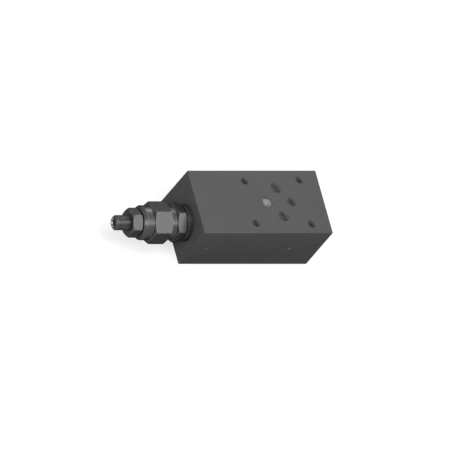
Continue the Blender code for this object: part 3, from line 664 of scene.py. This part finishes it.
def sweep_columns(work, outline_at, bearings, stand, closed):
    """The points of the sweep, one column for each bearing."""
    level = work.verts.layers.float.new("worn_edge")
    columns = []
    for bearing in bearings:
        column = []
        for row, (radius, height, edge) in enumerate(fine_outline(outline_at(bearing), closed)):
            if radius < 1e-6 and columns:
                column.append(columns[0][row])
                continue
            spot = Vector((radius * math.cos(bearing), radius * math.sin(bearing), height))
            point = work.verts.new((stand @ spot) * MM)
            point[level] = edge
            column.append(point)
        columns.append(column)
    return columns


def from_bmesh(work, name):
    """An object made of a finished bmesh."""
    mesh = bpy.data.meshes.new(name)
    work.to_mesh(mesh)
    work.free()
    return new_object(name, mesh)


def swept(name, outline_at, bearings, stand, closed=False):
    """A mesh object made by sweeping an outline, in mm, which may change with the bearing."""
    work = bmesh.new()
    columns = sweep_columns(work, outline_at, bearings, stand, closed)
    rows = len(columns[0])
    for number, column in enumerate(columns):
        beside = columns[(number + 1) % len(columns)]
        for row in range(rows if closed else rows - 1):
            under = (row + 1) % rows
            ring = [column[row], column[under], beside[under], beside[row]]
            work.faces.new(list(dict.fromkeys(ring)))
    bmesh.ops.recalc_face_normals(work, faces=work.faces)
    return from_bmesh(work, name)


# %% Cut a piece, and make its modifiers final
def keep_result(piece):
    """Makes a piece's modifiers final."""
    graph = bpy.context.evaluated_depsgraph_get()
    mesh = bpy.data.meshes.new_from_object(piece.evaluated_get(graph))
    piece.modifiers.clear()
    piece.data = mesh
    return piece


def drilled(piece, tools):
    """Cuts a piece with tools and clears them away."""
    for tool in tools:
        cut = piece.modifiers.new(tool.name, "BOOLEAN")
        cut.operation = "DIFFERENCE"
        cut.solver = "EXACT"
        cut.object = tool
    keep_result(piece)
    for tool in tools:
        bpy.data.objects.remove(tool, do_unlink=True)
    return piece


# %% [markdown]
# Two numbers on a mesh tell its material where it differs. The first, worn_edge, comes with the
# sweep. The second is 1 where a drill or a broach cut the metal after the coat went on. Those
# walls are painted paler than bare metal: partly fresh drilled steel, partly painted light that
# lifts the shade inside the holes.

# %% Mark faces for the material
def mark_faces(piece, name, is_marked):
    """Gives a piece a number called name, 1 on the faces that is_marked picks and 0 elsewhere."""
    layer = piece.data.attributes.new(name, "FLOAT", "CORNER")
    found = [face for face in piece.data.polygons if is_marked(face)]
    for face in found:
        for corner in face.loop_indices:
            layer.data[corner].value = 1.0
    print(name, "is marked on", len(found), "faces of", piece.name)


# %% Hand a piece to the frame
SHARP_ANGLE = math.radians(31.0)


def hand_over(piece, node, body, material):
    """Smooths a piece, gives it its material and lets it stand for a CAD node."""
    mesh = piece.data
    mesh.name = piece.name
    mesh.materials.clear()
    mesh.materials.append(material)
    mesh.shade_smooth()
    mesh.set_sharp_from_angle(angle=SHARP_ANGLE)
    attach(piece, body)
    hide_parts(node)
    mesh.calc_loop_triangles()
    print(piece.name, len(mesh.loop_triangles), "triangles")


# %% [markdown]
# ## The block
#
# The block is sawn from bar, milled on six sides and drilled. It is made the same way here: a
# cuboid with broken edges, cut by one tool for each hole. A tool is a swept outline whose first
# corners flare out, so that each hole gets a small countersunk mouth. Booleans suit this piece,
# because its holes meet inside at odd angles that would be hard to build by hand.

# %% Where the holes are, in mm
PORTS = {
    "p": ((0.0, 10.4), 3.75),
    "t": ((0.0, -10.4), 3.75),
    "a": ((-8.8, 0.0), 3.75),
    "b": ((8.7, 0.0), 3.25),
}
BOLT_SPOTS = ((-21.5, -15.5), (-21.5, 15.5), (19.0, -16.25), (19.0, 16.25))
PLATE_HOLES_X = (-50.5, 10.1)
PLATE_HOLES_Z = 20.0
BLOCK_LOW = Vector((-61.5, -23.0, 0.0))
BLOCK_HIGH = Vector((32.5, 23.0, 40.0))
CARTRIDGE_SPOT = (BLOCK_LOW.x, AXIS_Y / MM, AXIS_Z / MM)
CARTRIDGE_STAND = stand_on(CARTRIDGE_SPOT, "left")
POCKET_DEPTH = 5.0
TIP_SLOPE = math.tan(math.radians(59.0))  # of a twist drill's point
MOUTH = 0.15
PAST = 1.0  # how far a tool starts outside the metal
BLOCK_EDGE = 0.2
BOLT_RADIUS = 2.75
PLATE_HOLE = (1.05, 3.5)  # radius and depth
SEAT_RADIUS = 6.3
SEAT_DEPTH = 1.45
LINK_RADIUS = 2.0
LINK_ENDS = (-1.0, -14.0)  # heights from the block's top
PASSAGE_RADIUS = 2.5
PRESSURE_PASSAGE_Y = -2.2
PRESSURE_PASSAGE_LENGTH = 19.4
TANK_PASSAGE_ENDS = (-5.0, -74.25)  # heights from the block's right end
PLUG_HOLE = (4.0, 9.0)  # radius and depth
PLUG_SPOT = (BLOCK_HIGH.x, -9.0, 10.0)


# %% Tools for round holes
def tool(name, corners, stand, columns=64):
    """A cutter with one outline all the way round."""
    return swept(name, lambda bearing: corners, round_bearings(columns), stand)


def mouth_points(radius, flare=MOUTH):
    """The start of a tool that countersinks the mouth of its hole."""
    return [(0.0, PAST), (radius + flare + PAST, PAST, 0), (radius, -flare, 0)]


def drill_end(radius, depth):
    """The end of a drilled hole: its full diameter stops at depth, and its point runs on."""
    return [(radius, -depth, 0), (0.0, -depth - radius / TIP_SLOPE)]


def drill(name, radius, depth, stand, columns=64):
    return tool(name, mouth_points(radius) + drill_end(radius, depth), stand, columns)


def end_mill(name, radius, depth, stand):
    """A hole with a flat floor and the small corner arc of an end mill."""
    corners = mouth_points(radius) + [(radius, -depth, INSIDE), (0.0, -depth)]
    return tool(name, corners, stand)


def bolt_hole(number, spot):
    """A hole from top to bottom with both mouths countersunk."""
    through = BLOCK_HIGH.z
    far_mouth = [
        (BOLT_RADIUS, MOUTH - through, 0),
        (BOLT_RADIUS + MOUTH + PAST, -through - PAST, 0),
        (0.0, -through - PAST),
    ]
    corners = mouth_points(BOLT_RADIUS) + far_mouth
    return tool(f"bolt_hole_{number}", corners, stand_on((*spot, through), "top"), 48)


# %% Tools for the ports and passages
LINK_INSET = 0.05
LINK_BEARING = math.radians(221.0)


def straight(radius, start, end):
    """The outline of a plain cylinder between two heights."""
    return [(0.0, start), (radius, start, 0), (radius, end, 0), (0.0, end)]


def port_tools(name, spot, radius):
    """The pocket on top, the drilling from below with its seal's seat, and their link."""
    tip = radius / TIP_SLOPE
    top = stand_on((*spot, BLOCK_HIGH.z), "top")
    if name == "a":
        yield drill("pocket_a", radius, POCKET_DEPTH - tip, top)
    else:
        yield end_mill("pocket_" + name, radius, POCKET_DEPTH, top)
    seat = [(SEAT_RADIUS, -SEAT_DEPTH, INSIDE), (radius, -SEAT_DEPTH, 0)]
    depth = BLOCK_HIGH.z - 2 * POCKET_DEPTH - tip
    corners = mouth_points(SEAT_RADIUS) + seat + drill_end(radius, depth)
    yield tool("riser_" + name, corners, stand_on((*spot, 0.0), "bottom"))
    offset = radius - LINK_RADIUS - LINK_INSET
    x = spot[0] + offset * math.cos(LINK_BEARING)
    y = spot[1] + offset * math.sin(LINK_BEARING)
    stand = stand_on((x, y, BLOCK_HIGH.z), "top")
    yield tool("link_" + name, straight(LINK_RADIUS, *LINK_ENDS), stand, 40)


def passage_tools():
    """The crossed drillings that join ports A and T to the cartridge, and the plug's hole."""
    under_port_a = (PORTS["a"][0][0], PRESSURE_PASSAGE_Y, CARTRIDGE_SPOT[2])
    run = straight(PASSAGE_RADIUS, PRESSURE_PASSAGE_LENGTH, 0.0)
    yield tool("pressure_passage", run, stand_on(under_port_a, "left"), 40)
    mouth = stand_on(PLUG_SPOT, "right")
    start, end = TANK_PASSAGE_ENDS
    run = [(0.0, start), (PASSAGE_RADIUS, start, 0), *drill_end(PASSAGE_RADIUS, -end)]
    yield tool("tank_passage", run, mouth, 40)
    yield drill("plug_hole", *PLUG_HOLE, mouth)


def cavity_tool():
    """The stepped bore that the cartridge screws into, with a groove for the oil to tank."""
    corners = mouth_points(10.8, 0.4) + [
        (10.8, -2.0, INSIDE), (10.0, -2.0, 0), (10.0, -14.0, 0), (9.3, -14.0, 0),
        (9.3, -16.5, 0), (11.5, -16.5, 0), (11.5, -23.0, 0), (7.5, -23.0, 0),
        (7.5, -34.3, 0), (0.0, -34.3),
    ]
    return tool("cavity", corners, CARTRIDGE_STAND, 96)


# %% Cut the block
def depth_and_slant(face, axis):
    """How deep a face lies under the nearer side across an axis, and how it leans to that side."""
    middle = face.center[axis] / MM
    depth = min(middle - BLOCK_LOW[axis], BLOCK_HIGH[axis] - middle)
    return depth, abs(face.normal[axis])


def on_pocket_floor(face):
    """Whether a face is on the floor of a milled pocket, which was coated with the block."""
    (port_a_x, _), port_a_radius = PORTS["a"]
    past_port_a = face.center.x / MM > port_a_x + port_a_radius + MOUTH
    deepest = BLOCK_HIGH.z - POCKET_DEPTH - PAST
    return past_port_a and face.normal.z > 0.2 and face.center.z / MM > deepest


def in_a_hole(face):
    """Whether a face is a hole's: on no side, no broken edge and no milled pocket's floor."""
    sides = [depth_and_slant(face, axis) for axis in range(3)]
    outside = any(depth < 0.25 and slant > 0.3 for depth, slant in sides)
    return not outside and not on_pocket_floor(face)


def on_broken_edge(face):
    """Whether a face is one of the narrow slanted ones, at a broken edge or a hole's mouth."""
    sides = [depth_and_slant(face, axis) for axis in range(3)]
    return any(depth < 0.3 and 0.25 < slant < 0.97 for depth, slant in sides)


def make_bar():
    """The milled bar with all its edges broken."""
    work = bmesh.new()
    bmesh.ops.create_cube(work, size=1.0)
    bmesh.ops.scale(work, vec=(BLOCK_HIGH - BLOCK_LOW) * MM, verts=work.verts)
    middle = (BLOCK_HIGH + BLOCK_LOW) / 2
    bmesh.ops.translate(work, vec=middle * MM, verts=work.verts)
    broken = {"offset": BLOCK_EDGE * MM, "segments": 2, "profile": 0.5, "affect": "EDGES"}
    bmesh.ops.bevel(work, geom=work.edges, **broken)
    return from_bmesh(work, "drilled_block")


tools = [cavity_tool(), *passage_tools()]
tools += [bolt_hole(number, spot) for number, spot in enumerate(BOLT_SPOTS)]
for number, x in enumerate(PLATE_HOLES_X):
    mouth = stand_on((x, BLOCK_LOW.y, PLATE_HOLES_Z), "front")
    tools.append(drill(f"plate_hole_{number}", *PLATE_HOLE, mouth, 32))
for name, (spot, radius) in PORTS.items():
    tools += port_tools(name, spot, radius)
block = drilled(make_bar(), tools)
if "worn_edge" in block.data.attributes:  # the tools bring one along
    block.data.attributes.remove(block.data.attributes["worn_edge"])
mark_faces(block, "worn_edge", on_broken_edge)
# hole walls get a paler colour, partly painted light against their shade
mark_faces(block, "bored_painted_light", in_a_hole)
hand_over(block, "valve_block", "housing", BLOCK_STEEL)

# %% [markdown]
# ## The cartridge body
#
# One turned piece: a spigot for the cap, a neck, the 22 mm hexagon that a spanner holds, a flange
# that seats on the block, and below it the threaded part and the nose. Its middle is bored for
# the spring and the poppet, so its outline is a closed loop. Heights are distances out of the
# block's end face, and depths inside the block are below zero.

# %% Hexagons between round neighbours
CHAMFER_SLOPE = math.tan(math.radians(30.0))
BODY_HEXAGON = 22.0  # across its flats, as are the others
CAP_HEXAGON = 23.85
NUT_HEXAGON = 16.75
HEXAGON_ARC = 0.06
SCREW_SOCKET = 5.0
PLUG_SOCKET = 4.0


def hex_corners(across_flats, bearing, low, high, low_face, high_face):
    """The corners of a chamfered hexagon at one bearing, from its high end to its low end."""
    reach = hex_reach(across_flats, bearing)
    at_corner = SIXTH / 2 - abs(off_corner(bearing)) > flat_angle(across_flats) + 1e-6
    level = 1.0 if at_corner else 0.0
    return [
        (high_face / 2, high, HEXAGON_ARC),
        (reach, high - (reach - high_face / 2) * CHAMFER_SLOPE, HEXAGON_ARC, level),
        (reach, low + (reach - low_face / 2) * CHAMFER_SLOPE, HEXAGON_ARC, level),
        (low_face / 2, low, HEXAGON_ARC),
    ]


def body_outline(bearing):
    outside = [
        (6.4, 20.25), (8.5, 20.25), (9.0, 19.75), (9.0, 16.45), (7.5, 16.45, INSIDE),
        (7.5, 14.5, INSIDE), (11.0, 14.5), (11.0, 11.1), (10.3, 11.1, INSIDE),
        (10.3, 10.8, 0),
        *hex_corners(BODY_HEXAGON, bearing, 3.9, 10.8, 21.2, 21.2),
        (10.3, 3.9, 0), (10.3, 3.6, INSIDE), (12.0, 3.6), (12.0, 0.1),
    ]
    in_block = [
        (8.9, 0.1, INSIDE), (8.9, -2.2, INSIDE), (9.35, -2.2), (9.85, -2.7),
        (9.85, -13.3), (9.35, -13.8), (8.0, -13.8, INSIDE), (8.0, -22.8, INSIDE),
        (7.35, -22.8), (7.35, -27.0), (6.1, -27.0, INSIDE), (6.1, -29.5, INSIDE),
        (7.35, -29.5), (7.35, -33.5), (6.85, -34.0),
    ]
    bores = [
        (3.0, -34.0), (3.0, -33.1), (5.0, -33.1, INSIDE), (5.0, -28.4, INSIDE),
        (4.5, -28.4), (4.5, -10.8), (6.4, -10.8, INSIDE),
    ]
    return outside + in_block + bores


# %% Drill and finish the cartridge body
CROSS_HEIGHT = -19.75  # the middle of the tank groove
CROSS_HOLE = (1.75, 9.0)  # radius and half its length


def cross_drill(name, radius, half_length, quarter):
    """A tool that drills right across the cartridge's axis, at its tank groove."""
    turn = Euler((math.pi / 2, 0.0, quarter * math.pi / 2)).to_matrix().to_4x4()
    stand = CARTRIDGE_STAND @ Matrix.Translation((0.0, 0.0, CROSS_HEIGHT)) @ turn
    return tool(name, straight(radius, half_length, -half_length), stand, 32)


bearings = hex_bearings(BODY_HEXAGON)
body = swept("body_of_cartridge", body_outline, bearings, CARTRIDGE_STAND, closed=True)
drilled(body, [cross_drill(f"cross_hole_{turn}", *CROSS_HOLE, turn) for turn in (0, 1)])
hand_over(body, "cartridge_body", "housing", CARTRIDGE_STEEL)

# %% [markdown]
# ## The spring cap and the lock nut
#
# The cap is the larger hexagon. It carries a round ring and a cone that the lock nut is drawn
# down on. The nut is recessed underneath for a seal that grips the screw's thread.

# %% Spring cap and lock nut
def cap_outline(bearing):
    hexagon = hex_corners(CAP_HEXAGON, bearing, 14.7, 28.05, 23.0, 22.6)
    return [
        (5.05, 34.65), (9.5, 34.65), (11.25, 32.95), (11.25, 28.05, 0),
        (11.3, 28.05, 0),
        *hexagon[1:],
        (9.15, 14.7), (9.15, 20.45, INSIDE), (6.4, 20.45), (6.4, 28.3, INSIDE),
        (5.05, 28.3),
    ]


def nut_outline(bearing):
    return [
        (5.05, 42.15, 0.25),
        *hex_corners(NUT_HEXAGON, bearing, 34.95, 42.15, 16.0, 16.0),
        (6.5, 34.95), (6.5, 36.35, INSIDE), (5.05, 36.35),
    ]


cap = swept("cap_with_ring", cap_outline, hex_bearings(CAP_HEXAGON), CARTRIDGE_STAND, closed=True)
hand_over(cap, "spring_cap", "housing", CARTRIDGE_STEEL)
nut = swept("nut_on_screw", nut_outline, hex_bearings(NUT_HEXAGON), CARTRIDGE_STAND, closed=True)
hand_over(nut, "lock_nut", "lock_nut", CARTRIDGE_STEEL)

# %% [markdown]
# ## The adjusting screw
#
# A piston inside the cap, a fine M10 thread and a hexagon socket in its outer end. The thread is a
# rule and not a shape: how deep the surface lies depends only on how far along the screw a point
# is and on its bearing. Geometry Nodes apply that rule to a plain stem with many rows of points.

# %% Build and run Geometry Nodes trees
def geometry_tree(name, sizes):
    """An empty Geometry Nodes group with named sizes and a material."""
    inputs = {"Geometry": ("Geometry", None)}
    for label, value in sizes.items():
        inputs[label] = ("Int" if isinstance(value, int) else "Float", value)
    inputs["Material"] = ("Material", None)
    return open_group(name, "Geometry", inputs, {"Geometry": "Geometry"})


def point_parts(tree):
    """The X, Y and Z of every point that the tree works on."""
    place = tree.nodes.new("GeometryNodeInputPosition").outputs[0]
    return add_node(tree, "ShaderNodeSeparateXYZ", Vector=place).outputs


def end_tree(tree, given, out, geometry):
    """Realizes instances and sets the material, as every tree here ends."""
    real = add_node(tree, "GeometryNodeRealizeInstances", Geometry=geometry)
    dressed = add_node(tree, "GeometryNodeSetMaterial", Geometry=real.outputs[0])
    tree.links.new(given["Material"], dressed.inputs["Material"])
    tree.links.new(dressed.outputs[0], out["Geometry"])
    return tree


def moved_to(tree, geometry, x, y, z, chosen=True):
    """The geometry with its chosen points at new places."""
    spot = add_node(tree, "ShaderNodeCombineXYZ", X=x, Y=y, Z=z).outputs[0]
    inputs = {"Geometry": geometry, "Selection": chosen, "Position": spot}
    return add_node(tree, "GeometryNodeSetPosition", **inputs).outputs[0]


def round_tube(tree, curve, radius, sides, capped=False):
    """A round section swept along a curve."""
    section = add_node(tree, "GeometryNodeCurvePrimitiveCircle", Resolution=sides, Radius=radius)
    inputs = {"Curve": curve, "Profile Curve": section.outputs[0], "Fill Caps": capped}
    return add_node(tree, "GeometryNodeCurveToMesh", **inputs).outputs[0]


def run_tree(piece, tree, material, sizes=None):
    """Runs a tree on a piece and keeps the result as a plain mesh."""
    modifier = piece.modifiers.new(tree.name, "NODES")
    modifier.node_group = tree
    values = {**(sizes or {}), "Material": material}
    for item in tree.interface.items_tree:
        if item.in_out == "INPUT" and item.name in values:
            modifier[item.identifier] = values[item.name]
    return keep_result(piece)


# %% A tree that cuts a thread
def thread_radius(tree, given, parts, across, above):
    """How far out the thread's surface lies at a place, by its height and its bearing."""
    bearing = math_node(tree, "ARCTAN2", across, above)
    turn = over(tree, bearing, 2 * math.pi)
    pitches = over(tree, parts["X"], given["Pitch"])
    phase = math_node(tree, "FRACT", plus(tree, pitches, turn))
    doubled = times(tree, phase, 2.0)
    slope = math_node(tree, "ABSOLUTE", minus(tree, doubled, 1.0))
    rise = times(tree, given["Depth"], between(tree, slope, 0.15, 0.6))
    return plus(tree, given["Root"], rise)


THREAD_SIZES = {
    "Pitch": 0.001,
    "Root": 0.00454,
    "Depth": 0.00036,
    "Start X": -0.1135,
    "End X": -0.089,
}
SOCKET_ROOM = 0.0038  # points nearer the axis are the socket's, and stay


def make_thread_tree():
    tree, given, out = geometry_tree("cut_thread", THREAD_SIZES)
    parts = point_parts(tree)
    across, above, radius = from_axis(tree, parts)
    wanted = thread_radius(tree, given, parts, across, above)
    shrink = math_node(tree, "MINIMUM", over(tree, wanted, radius), 1.0)
    outside = math_node(tree, "GREATER_THAN", radius, SOCKET_ROOM)
    after = math_node(tree, "GREATER_THAN", parts["X"], given["Start X"])
    before = math_node(tree, "LESS_THAN", parts["X"], given["End X"])
    chosen = times(tree, times(tree, after, before), outside)
    new_y = plus(tree, times(tree, across, shrink), AXIS_Y)
    new_z = plus(tree, times(tree, above, shrink), AXIS_Z)
    cut = moved_to(tree, given["Geometry"], parts["X"], new_y, new_z, chosen)
    return end_tree(tree, given, out, cut)


# %% Adjusting screw
SCREW_END = 52.05
STEM_RADIUS = 4.9
STEM_TOP = SCREW_END - 1.0  # where its chamfer begins
THREAD_FOOT = 27.4
SOCKET_DEPTH = 5.5
SOCKET_LEAD = 3.137  # radius at which the socket's countersink starts
SOCKET_REACH = 3.1  # faces nearer the axis are the socket's
THREAD_ROWS = 8  # rows of points in each pitch


def socket_reach(across_flats, bearing):
    """How far a sharp-cornered hexagon socket reaches at a bearing."""
    return across_flats / 2 / math.cos(SIXTH / 2 - abs(off_corner(bearing)))


def screw_outline(bearing):
    wall = socket_reach(SCREW_SOCKET, bearing)
    rows = int((STEM_TOP - THREAD_FOOT) * THREAD_ROWS)
    heights = [STEM_TOP - (row + 1) / THREAD_ROWS for row in range(rows)]
    return [
        (0.0, SCREW_END - SOCKET_DEPTH),
        (wall, SCREW_END - SOCKET_DEPTH, 0),
        (wall, SCREW_END - SOCKET_LEAD + wall, 0.03),
        (SOCKET_LEAD, SCREW_END, 0.05),
        (3.9, SCREW_END, 0.08), (4.4, SCREW_END - 0.5, 0),
        (STEM_RADIUS, STEM_TOP, 0),
        *[(STEM_RADIUS, height, 0) for height in heights],
        (STEM_RADIUS, 26.9, 0), (6.25, 26.9), (6.25, 26.2), (4.9, 26.2, INSIDE),
        (4.9, 23.6, INSIDE), (6.25, 23.6), (6.25, 20.7), (0.0, 20.7),
    ]


bearings = hex_bearings(SCREW_SOCKET, 12, 2)
screw = swept("screw_with_piston", screw_outline, bearings, CARTRIDGE_STAND)
run_tree(screw, make_thread_tree(), CARTRIDGE_STEEL)


def in_screw_socket(face):
    height = BLOCK_LOW.x - face.center.x / MM
    reach = math.hypot(face.center.y - AXIS_Y, face.center.z - AXIS_Z) / MM
    return reach < SOCKET_REACH and height > SCREW_END - SOCKET_DEPTH - 0.1


# the socket's walls get a paler colour, partly painted light against their shade
mark_faces(screw, "bored_painted_light", in_screw_socket)
hand_over(screw, "adjusting_screw", "adjusting_screw", CARTRIDGE_STEEL)

# %% [markdown]
# ## The passage plug
#
# The drilled tank passage starts in the right end face, where a socket screw plug closes it. It
# is a short turned piece with a hexagon socket, so the same sweep makes it.

# %% Passage plug
PLUG_SOCKET_FLOOR = -4.6  # from the block's right end


def plug_outline(bearing):
    wall = socket_reach(PLUG_SOCKET, bearing)
    return [
        (0.0, PLUG_SOCKET_FLOOR),
        (wall, PLUG_SOCKET_FLOOR, 0),
        (wall, -0.55, 0.03),
        (2.5, -0.4, 0.05), (3.35, -0.4, 0.08), (3.85, -0.9, 0.05), (3.85, -7.9, 0.05),
        (3.35, -8.4, 0.08), (0.0, -8.4),
    ]


def in_plug_socket(face):
    floor = BLOCK_HIGH.x + PLUG_SOCKET_FLOOR
    return face.center.x / MM > floor - 0.4 and face.normal.x < 0.99


bearings = hex_bearings(PLUG_SOCKET, 12, 2)
plug = swept("plug_in_passage", plug_outline, bearings, stand_on(PLUG_SPOT, "right"))
# the socket's walls get a paler colour, partly painted light against their shade
mark_faces(plug, "bored_painted_light", in_plug_socket)
hand_over(plug, "passage_plug", "housing", CARTRIDGE_STEEL)

# %% [markdown]
# ## Inside the cartridge
#
# The seat, the poppet and the spring plate are round, so each is one outline. The poppet's cone
# rests on the sharp inner edge of the seat, a collar above its guide takes the spring, and a small
# drilled hole lets the oil behind it drain.

# %% Seat, spring plate and backup rings
def turned_piece(name, corners, closed=False):
    return swept(name, lambda bearing: corners, round_bearings(72), CARTRIDGE_STAND, closed)


def flat_ring(name, inner, outer, low, high, arc):
    corners = [(inner, high, arc), (outer, high, arc), (outer, low, arc), (inner, low, arc)]
    return turned_piece(name, corners, closed=True)


PLATE_CORNERS = [
    (0.0, 20.6), (5.7, 20.6), (6.2, 20.1), (6.2, 17.9), (3.2, 17.9, INSIDE),
    (3.2, 14.9), (2.7, 14.4), (0.0, 14.4),
]
seat = flat_ring("seat_ring", 2.25, 4.9, -33.0, -28.5, 0.05)
hand_over(seat, "valve_seat", "housing", HARD_STEEL)
plate = turned_piece("plate_on_spring", PLATE_CORNERS)
hand_over(plate, "spring_plate", "spring_plate", HARD_STEEL)
backup = flat_ring("nose_backup", 6.2, 7.4, -28.1, -27.1, 0.08)
hand_over(backup, "nose_backup_ring", "housing", BACKUP_PLASTIC)
backup = flat_ring("screw_backup", 5.0, 6.3, 25.1, 26.1, 0.08)
hand_over(backup, "screw_backup_ring", "adjusting_screw", BACKUP_PLASTIC)

# %% Poppet
DRAIN_RADIUS = 0.75
POPPET_CORNERS = [
    (0.0, -4.3), (2.7, -4.3), (3.2, -4.8), (3.2, -7.8, INSIDE), (5.9, -7.8),
    (5.9, -9.8), (3.2, -9.8, INSIDE), (3.2, -10.3, 0), (4.4, -10.3), (4.4, -17.0),
    (3.0, -17.0, INSIDE), (3.0, -27.028), (0.6, -31.185), (0.0, -31.185),
]
poppet = turned_piece("poppet_cone", POPPET_CORNERS)
drain = tool("drain", straight(DRAIN_RADIUS, -3.3, -20.5), CARTRIDGE_STAND, 32)
drilled(poppet, [drain, cross_drill("across", DRAIN_RADIUS, 4.0, 0)])
hand_over(poppet, "poppet", "poppet", HARD_STEEL)

# %% [markdown]
# ## The pressure spring
#
# A compression spring is one wire that follows a rule: a circle whose height grows slowly in the
# closed end turns and faster between them. Geometry Nodes place the points of a line by that
# rule, sweep the wire along it, and press flat what stands past the two ground ends.

# %% The rule of the wire's height
SPRING_SIZES = {
    "Turns": 8,
    "Closed turns": 1,
    "Points per turn": 40,
    "Closed pitch": 0.00195,
    "Coil radius": 0.0046,
    "Wire radius": 0.0009,
    "Start X": -0.0538,
    "End X": -0.0793,
    "Sunk": 0.000297,
}


def wire_rise(tree, given, turn):
    """How far the wire's middle has risen after some turns."""
    last = minus(tree, given["Turns"], given["Closed turns"])
    opening = math_node(tree, "MINIMUM", turn, given["Closed turns"])
    closing = math_node(tree, "MAXIMUM", minus(tree, turn, last), 0.0)
    closed = plus(tree, opening, closing)
    held = times(tree, given["Closed turns"], given["Closed pitch"])
    held = plus(tree, held, given["Sunk"])
    room = minus(tree, given["Start X"], given["End X"])
    room = minus(tree, room, times(tree, held, 2.0))
    pitch = over(tree, room, minus(tree, last, given["Closed turns"]))
    rise = times(tree, minus(tree, turn, closed), pitch)
    slow = times(tree, closed, given["Closed pitch"])
    return plus(tree, plus(tree, rise, slow), given["Sunk"])


# %% A tree that winds a spring
def place_on_coil(tree, given, turn):
    """The wire's middle after some turns about the cartridge's axis."""
    angle = times(tree, turn, 2 * math.pi)
    y = times(tree, math_node(tree, "SINE", angle), given["Coil radius"])
    z = times(tree, math_node(tree, "COSINE", angle), given["Coil radius"])
    x = minus(tree, given["Start X"], wire_rise(tree, given, turn))
    return x, plus(tree, y, AXIS_Y), plus(tree, z, AXIS_Z)


def make_spring_tree():
    tree, given, out = geometry_tree("wind_spring", SPRING_SIZES)
    count = times(tree, given["Turns"], given["Points per turn"])
    count = plus(tree, count, 1.0)
    line = add_node(tree, "GeometryNodeMeshLine", Count=count)
    wire = add_node(tree, "GeometryNodeMeshToCurve", Mesh=line.outputs[0])
    index = tree.nodes.new("GeometryNodeInputIndex").outputs[0]
    turn = over(tree, index, given["Points per turn"])
    wound = moved_to(tree, wire.outputs[0], *place_on_coil(tree, given, turn))
    tube = round_tube(tree, wound, given["Wire radius"], 16, capped=True)
    parts = point_parts(tree)
    flat = math_node(tree, "MINIMUM", parts["X"], given["Start X"])
    flat = math_node(tree, "MAXIMUM", flat, given["End X"])
    return end_tree(tree, given, out, moved_to(tree, tube, flat, parts["Y"], parts["Z"]))


def points_piece(name, spots=()):
    """An object whose mesh holds only points, for a tree to work on."""
    mesh = bpy.data.meshes.new(name)
    mesh.from_pydata([Vector(spot) * MM for spot in spots], [], [])
    return new_object(name, mesh)


# %% [markdown]
# The real spring shortens as the screw is turned in, with its far end resting on the poppet.

# %% Pressure spring
spring = run_tree(points_piece("spring_wire"), make_spring_tree(), SPRING_STEEL)
hand_over(spring, "pressure_spring", "housing", SPRING_STEEL)
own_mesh(spring)

# %% [markdown]
# ## O-rings
#
# All the seals are the same ring in different sizes, so one tree makes them: it puts a ring on
# every point of a mesh. The four under the block lie flat and are pressed a little thinner than
# their cord. The others stand round the cartridge's axis.

# %% A tree that lays rings on points
def make_ring_tree():
    sizes = {"Outer diameter": 0.0124, "Cord": 0.00178, "Height": 0.0013, "Upright": 0.0}
    tree, given, out = geometry_tree("lay_o_rings", sizes)
    outer = times(tree, given["Outer diameter"], 0.5)
    cord = times(tree, given["Cord"], 0.5)
    middle = minus(tree, outer, cord)
    path = add_node(tree, "GeometryNodeCurvePrimitiveCircle", Resolution=72, Radius=middle)
    ring = round_tube(tree, path.outputs[0], cord, 18)
    squeeze = over(tree, given["Height"], given["Cord"])
    shape = add_node(tree, "ShaderNodeCombineXYZ", X=1.0, Y=1.0, Z=squeeze).outputs[0]
    quarter = times(tree, given["Upright"], math.pi / 2)
    euler = add_node(tree, "ShaderNodeCombineXYZ", Y=quarter).outputs[0]
    turn = add_node(tree, "FunctionNodeEulerToRotation", Euler=euler).outputs[0]
    inputs = {"Points": given["Geometry"], "Instance": ring, "Rotation": turn, "Scale": shape}
    laid = add_node(tree, "GeometryNodeInstanceOnPoints", **inputs)
    return end_tree(tree, given, out, laid.outputs[0])


RING_TREE = make_ring_tree()


def lay_ring(node, body_name, spot, outer, cord, height, upright):
    """One O-ring at a spot, handed over in place of its solid."""
    sizes = {"Outer diameter": outer * MM, "Cord": cord * MM, "Height": height * MM}
    seal = points_piece("seal_" + node, [spot])
    run_tree(seal, RING_TREE, SEAL_RUBBER, {**sizes, "Upright": upright})
    hand_over(seal, node, body_name, SEAL_RUBBER)


# %% Seals under the block and on the cartridge
CARTRIDGE_SEALS = {
    "nose_o_ring": ("housing", 14.8, 1.2, -28.8),
    "flange_o_ring": ("housing", 21.4, 1.7, -0.95),
    "cap_o_ring": ("housing", 18.1, 1.45, 15.475),
    "screw_o_ring": ("adjusting_screw", 12.6, 1.3, 24.35),
    "lock_nut_seal": ("nut_seal", 12.8, 1.4, 35.55),
}
PORT_SEAL = (12.4, 1.78, 1.3)  # outer diameter, cord and pressed height
for name, (spot, _) in PORTS.items():
    lay_ring("port_o_ring_" + name, "housing", (*spot, 0.7), *PORT_SEAL, 0.0)
for node, (body_name, outer, cord, height) in CARTRIDGE_SEALS.items():
    lay_ring(node, body_name, CARTRIDGE_STAND @ Vector((0.0, 0.0, height)), outer, cord, cord, 1.0)
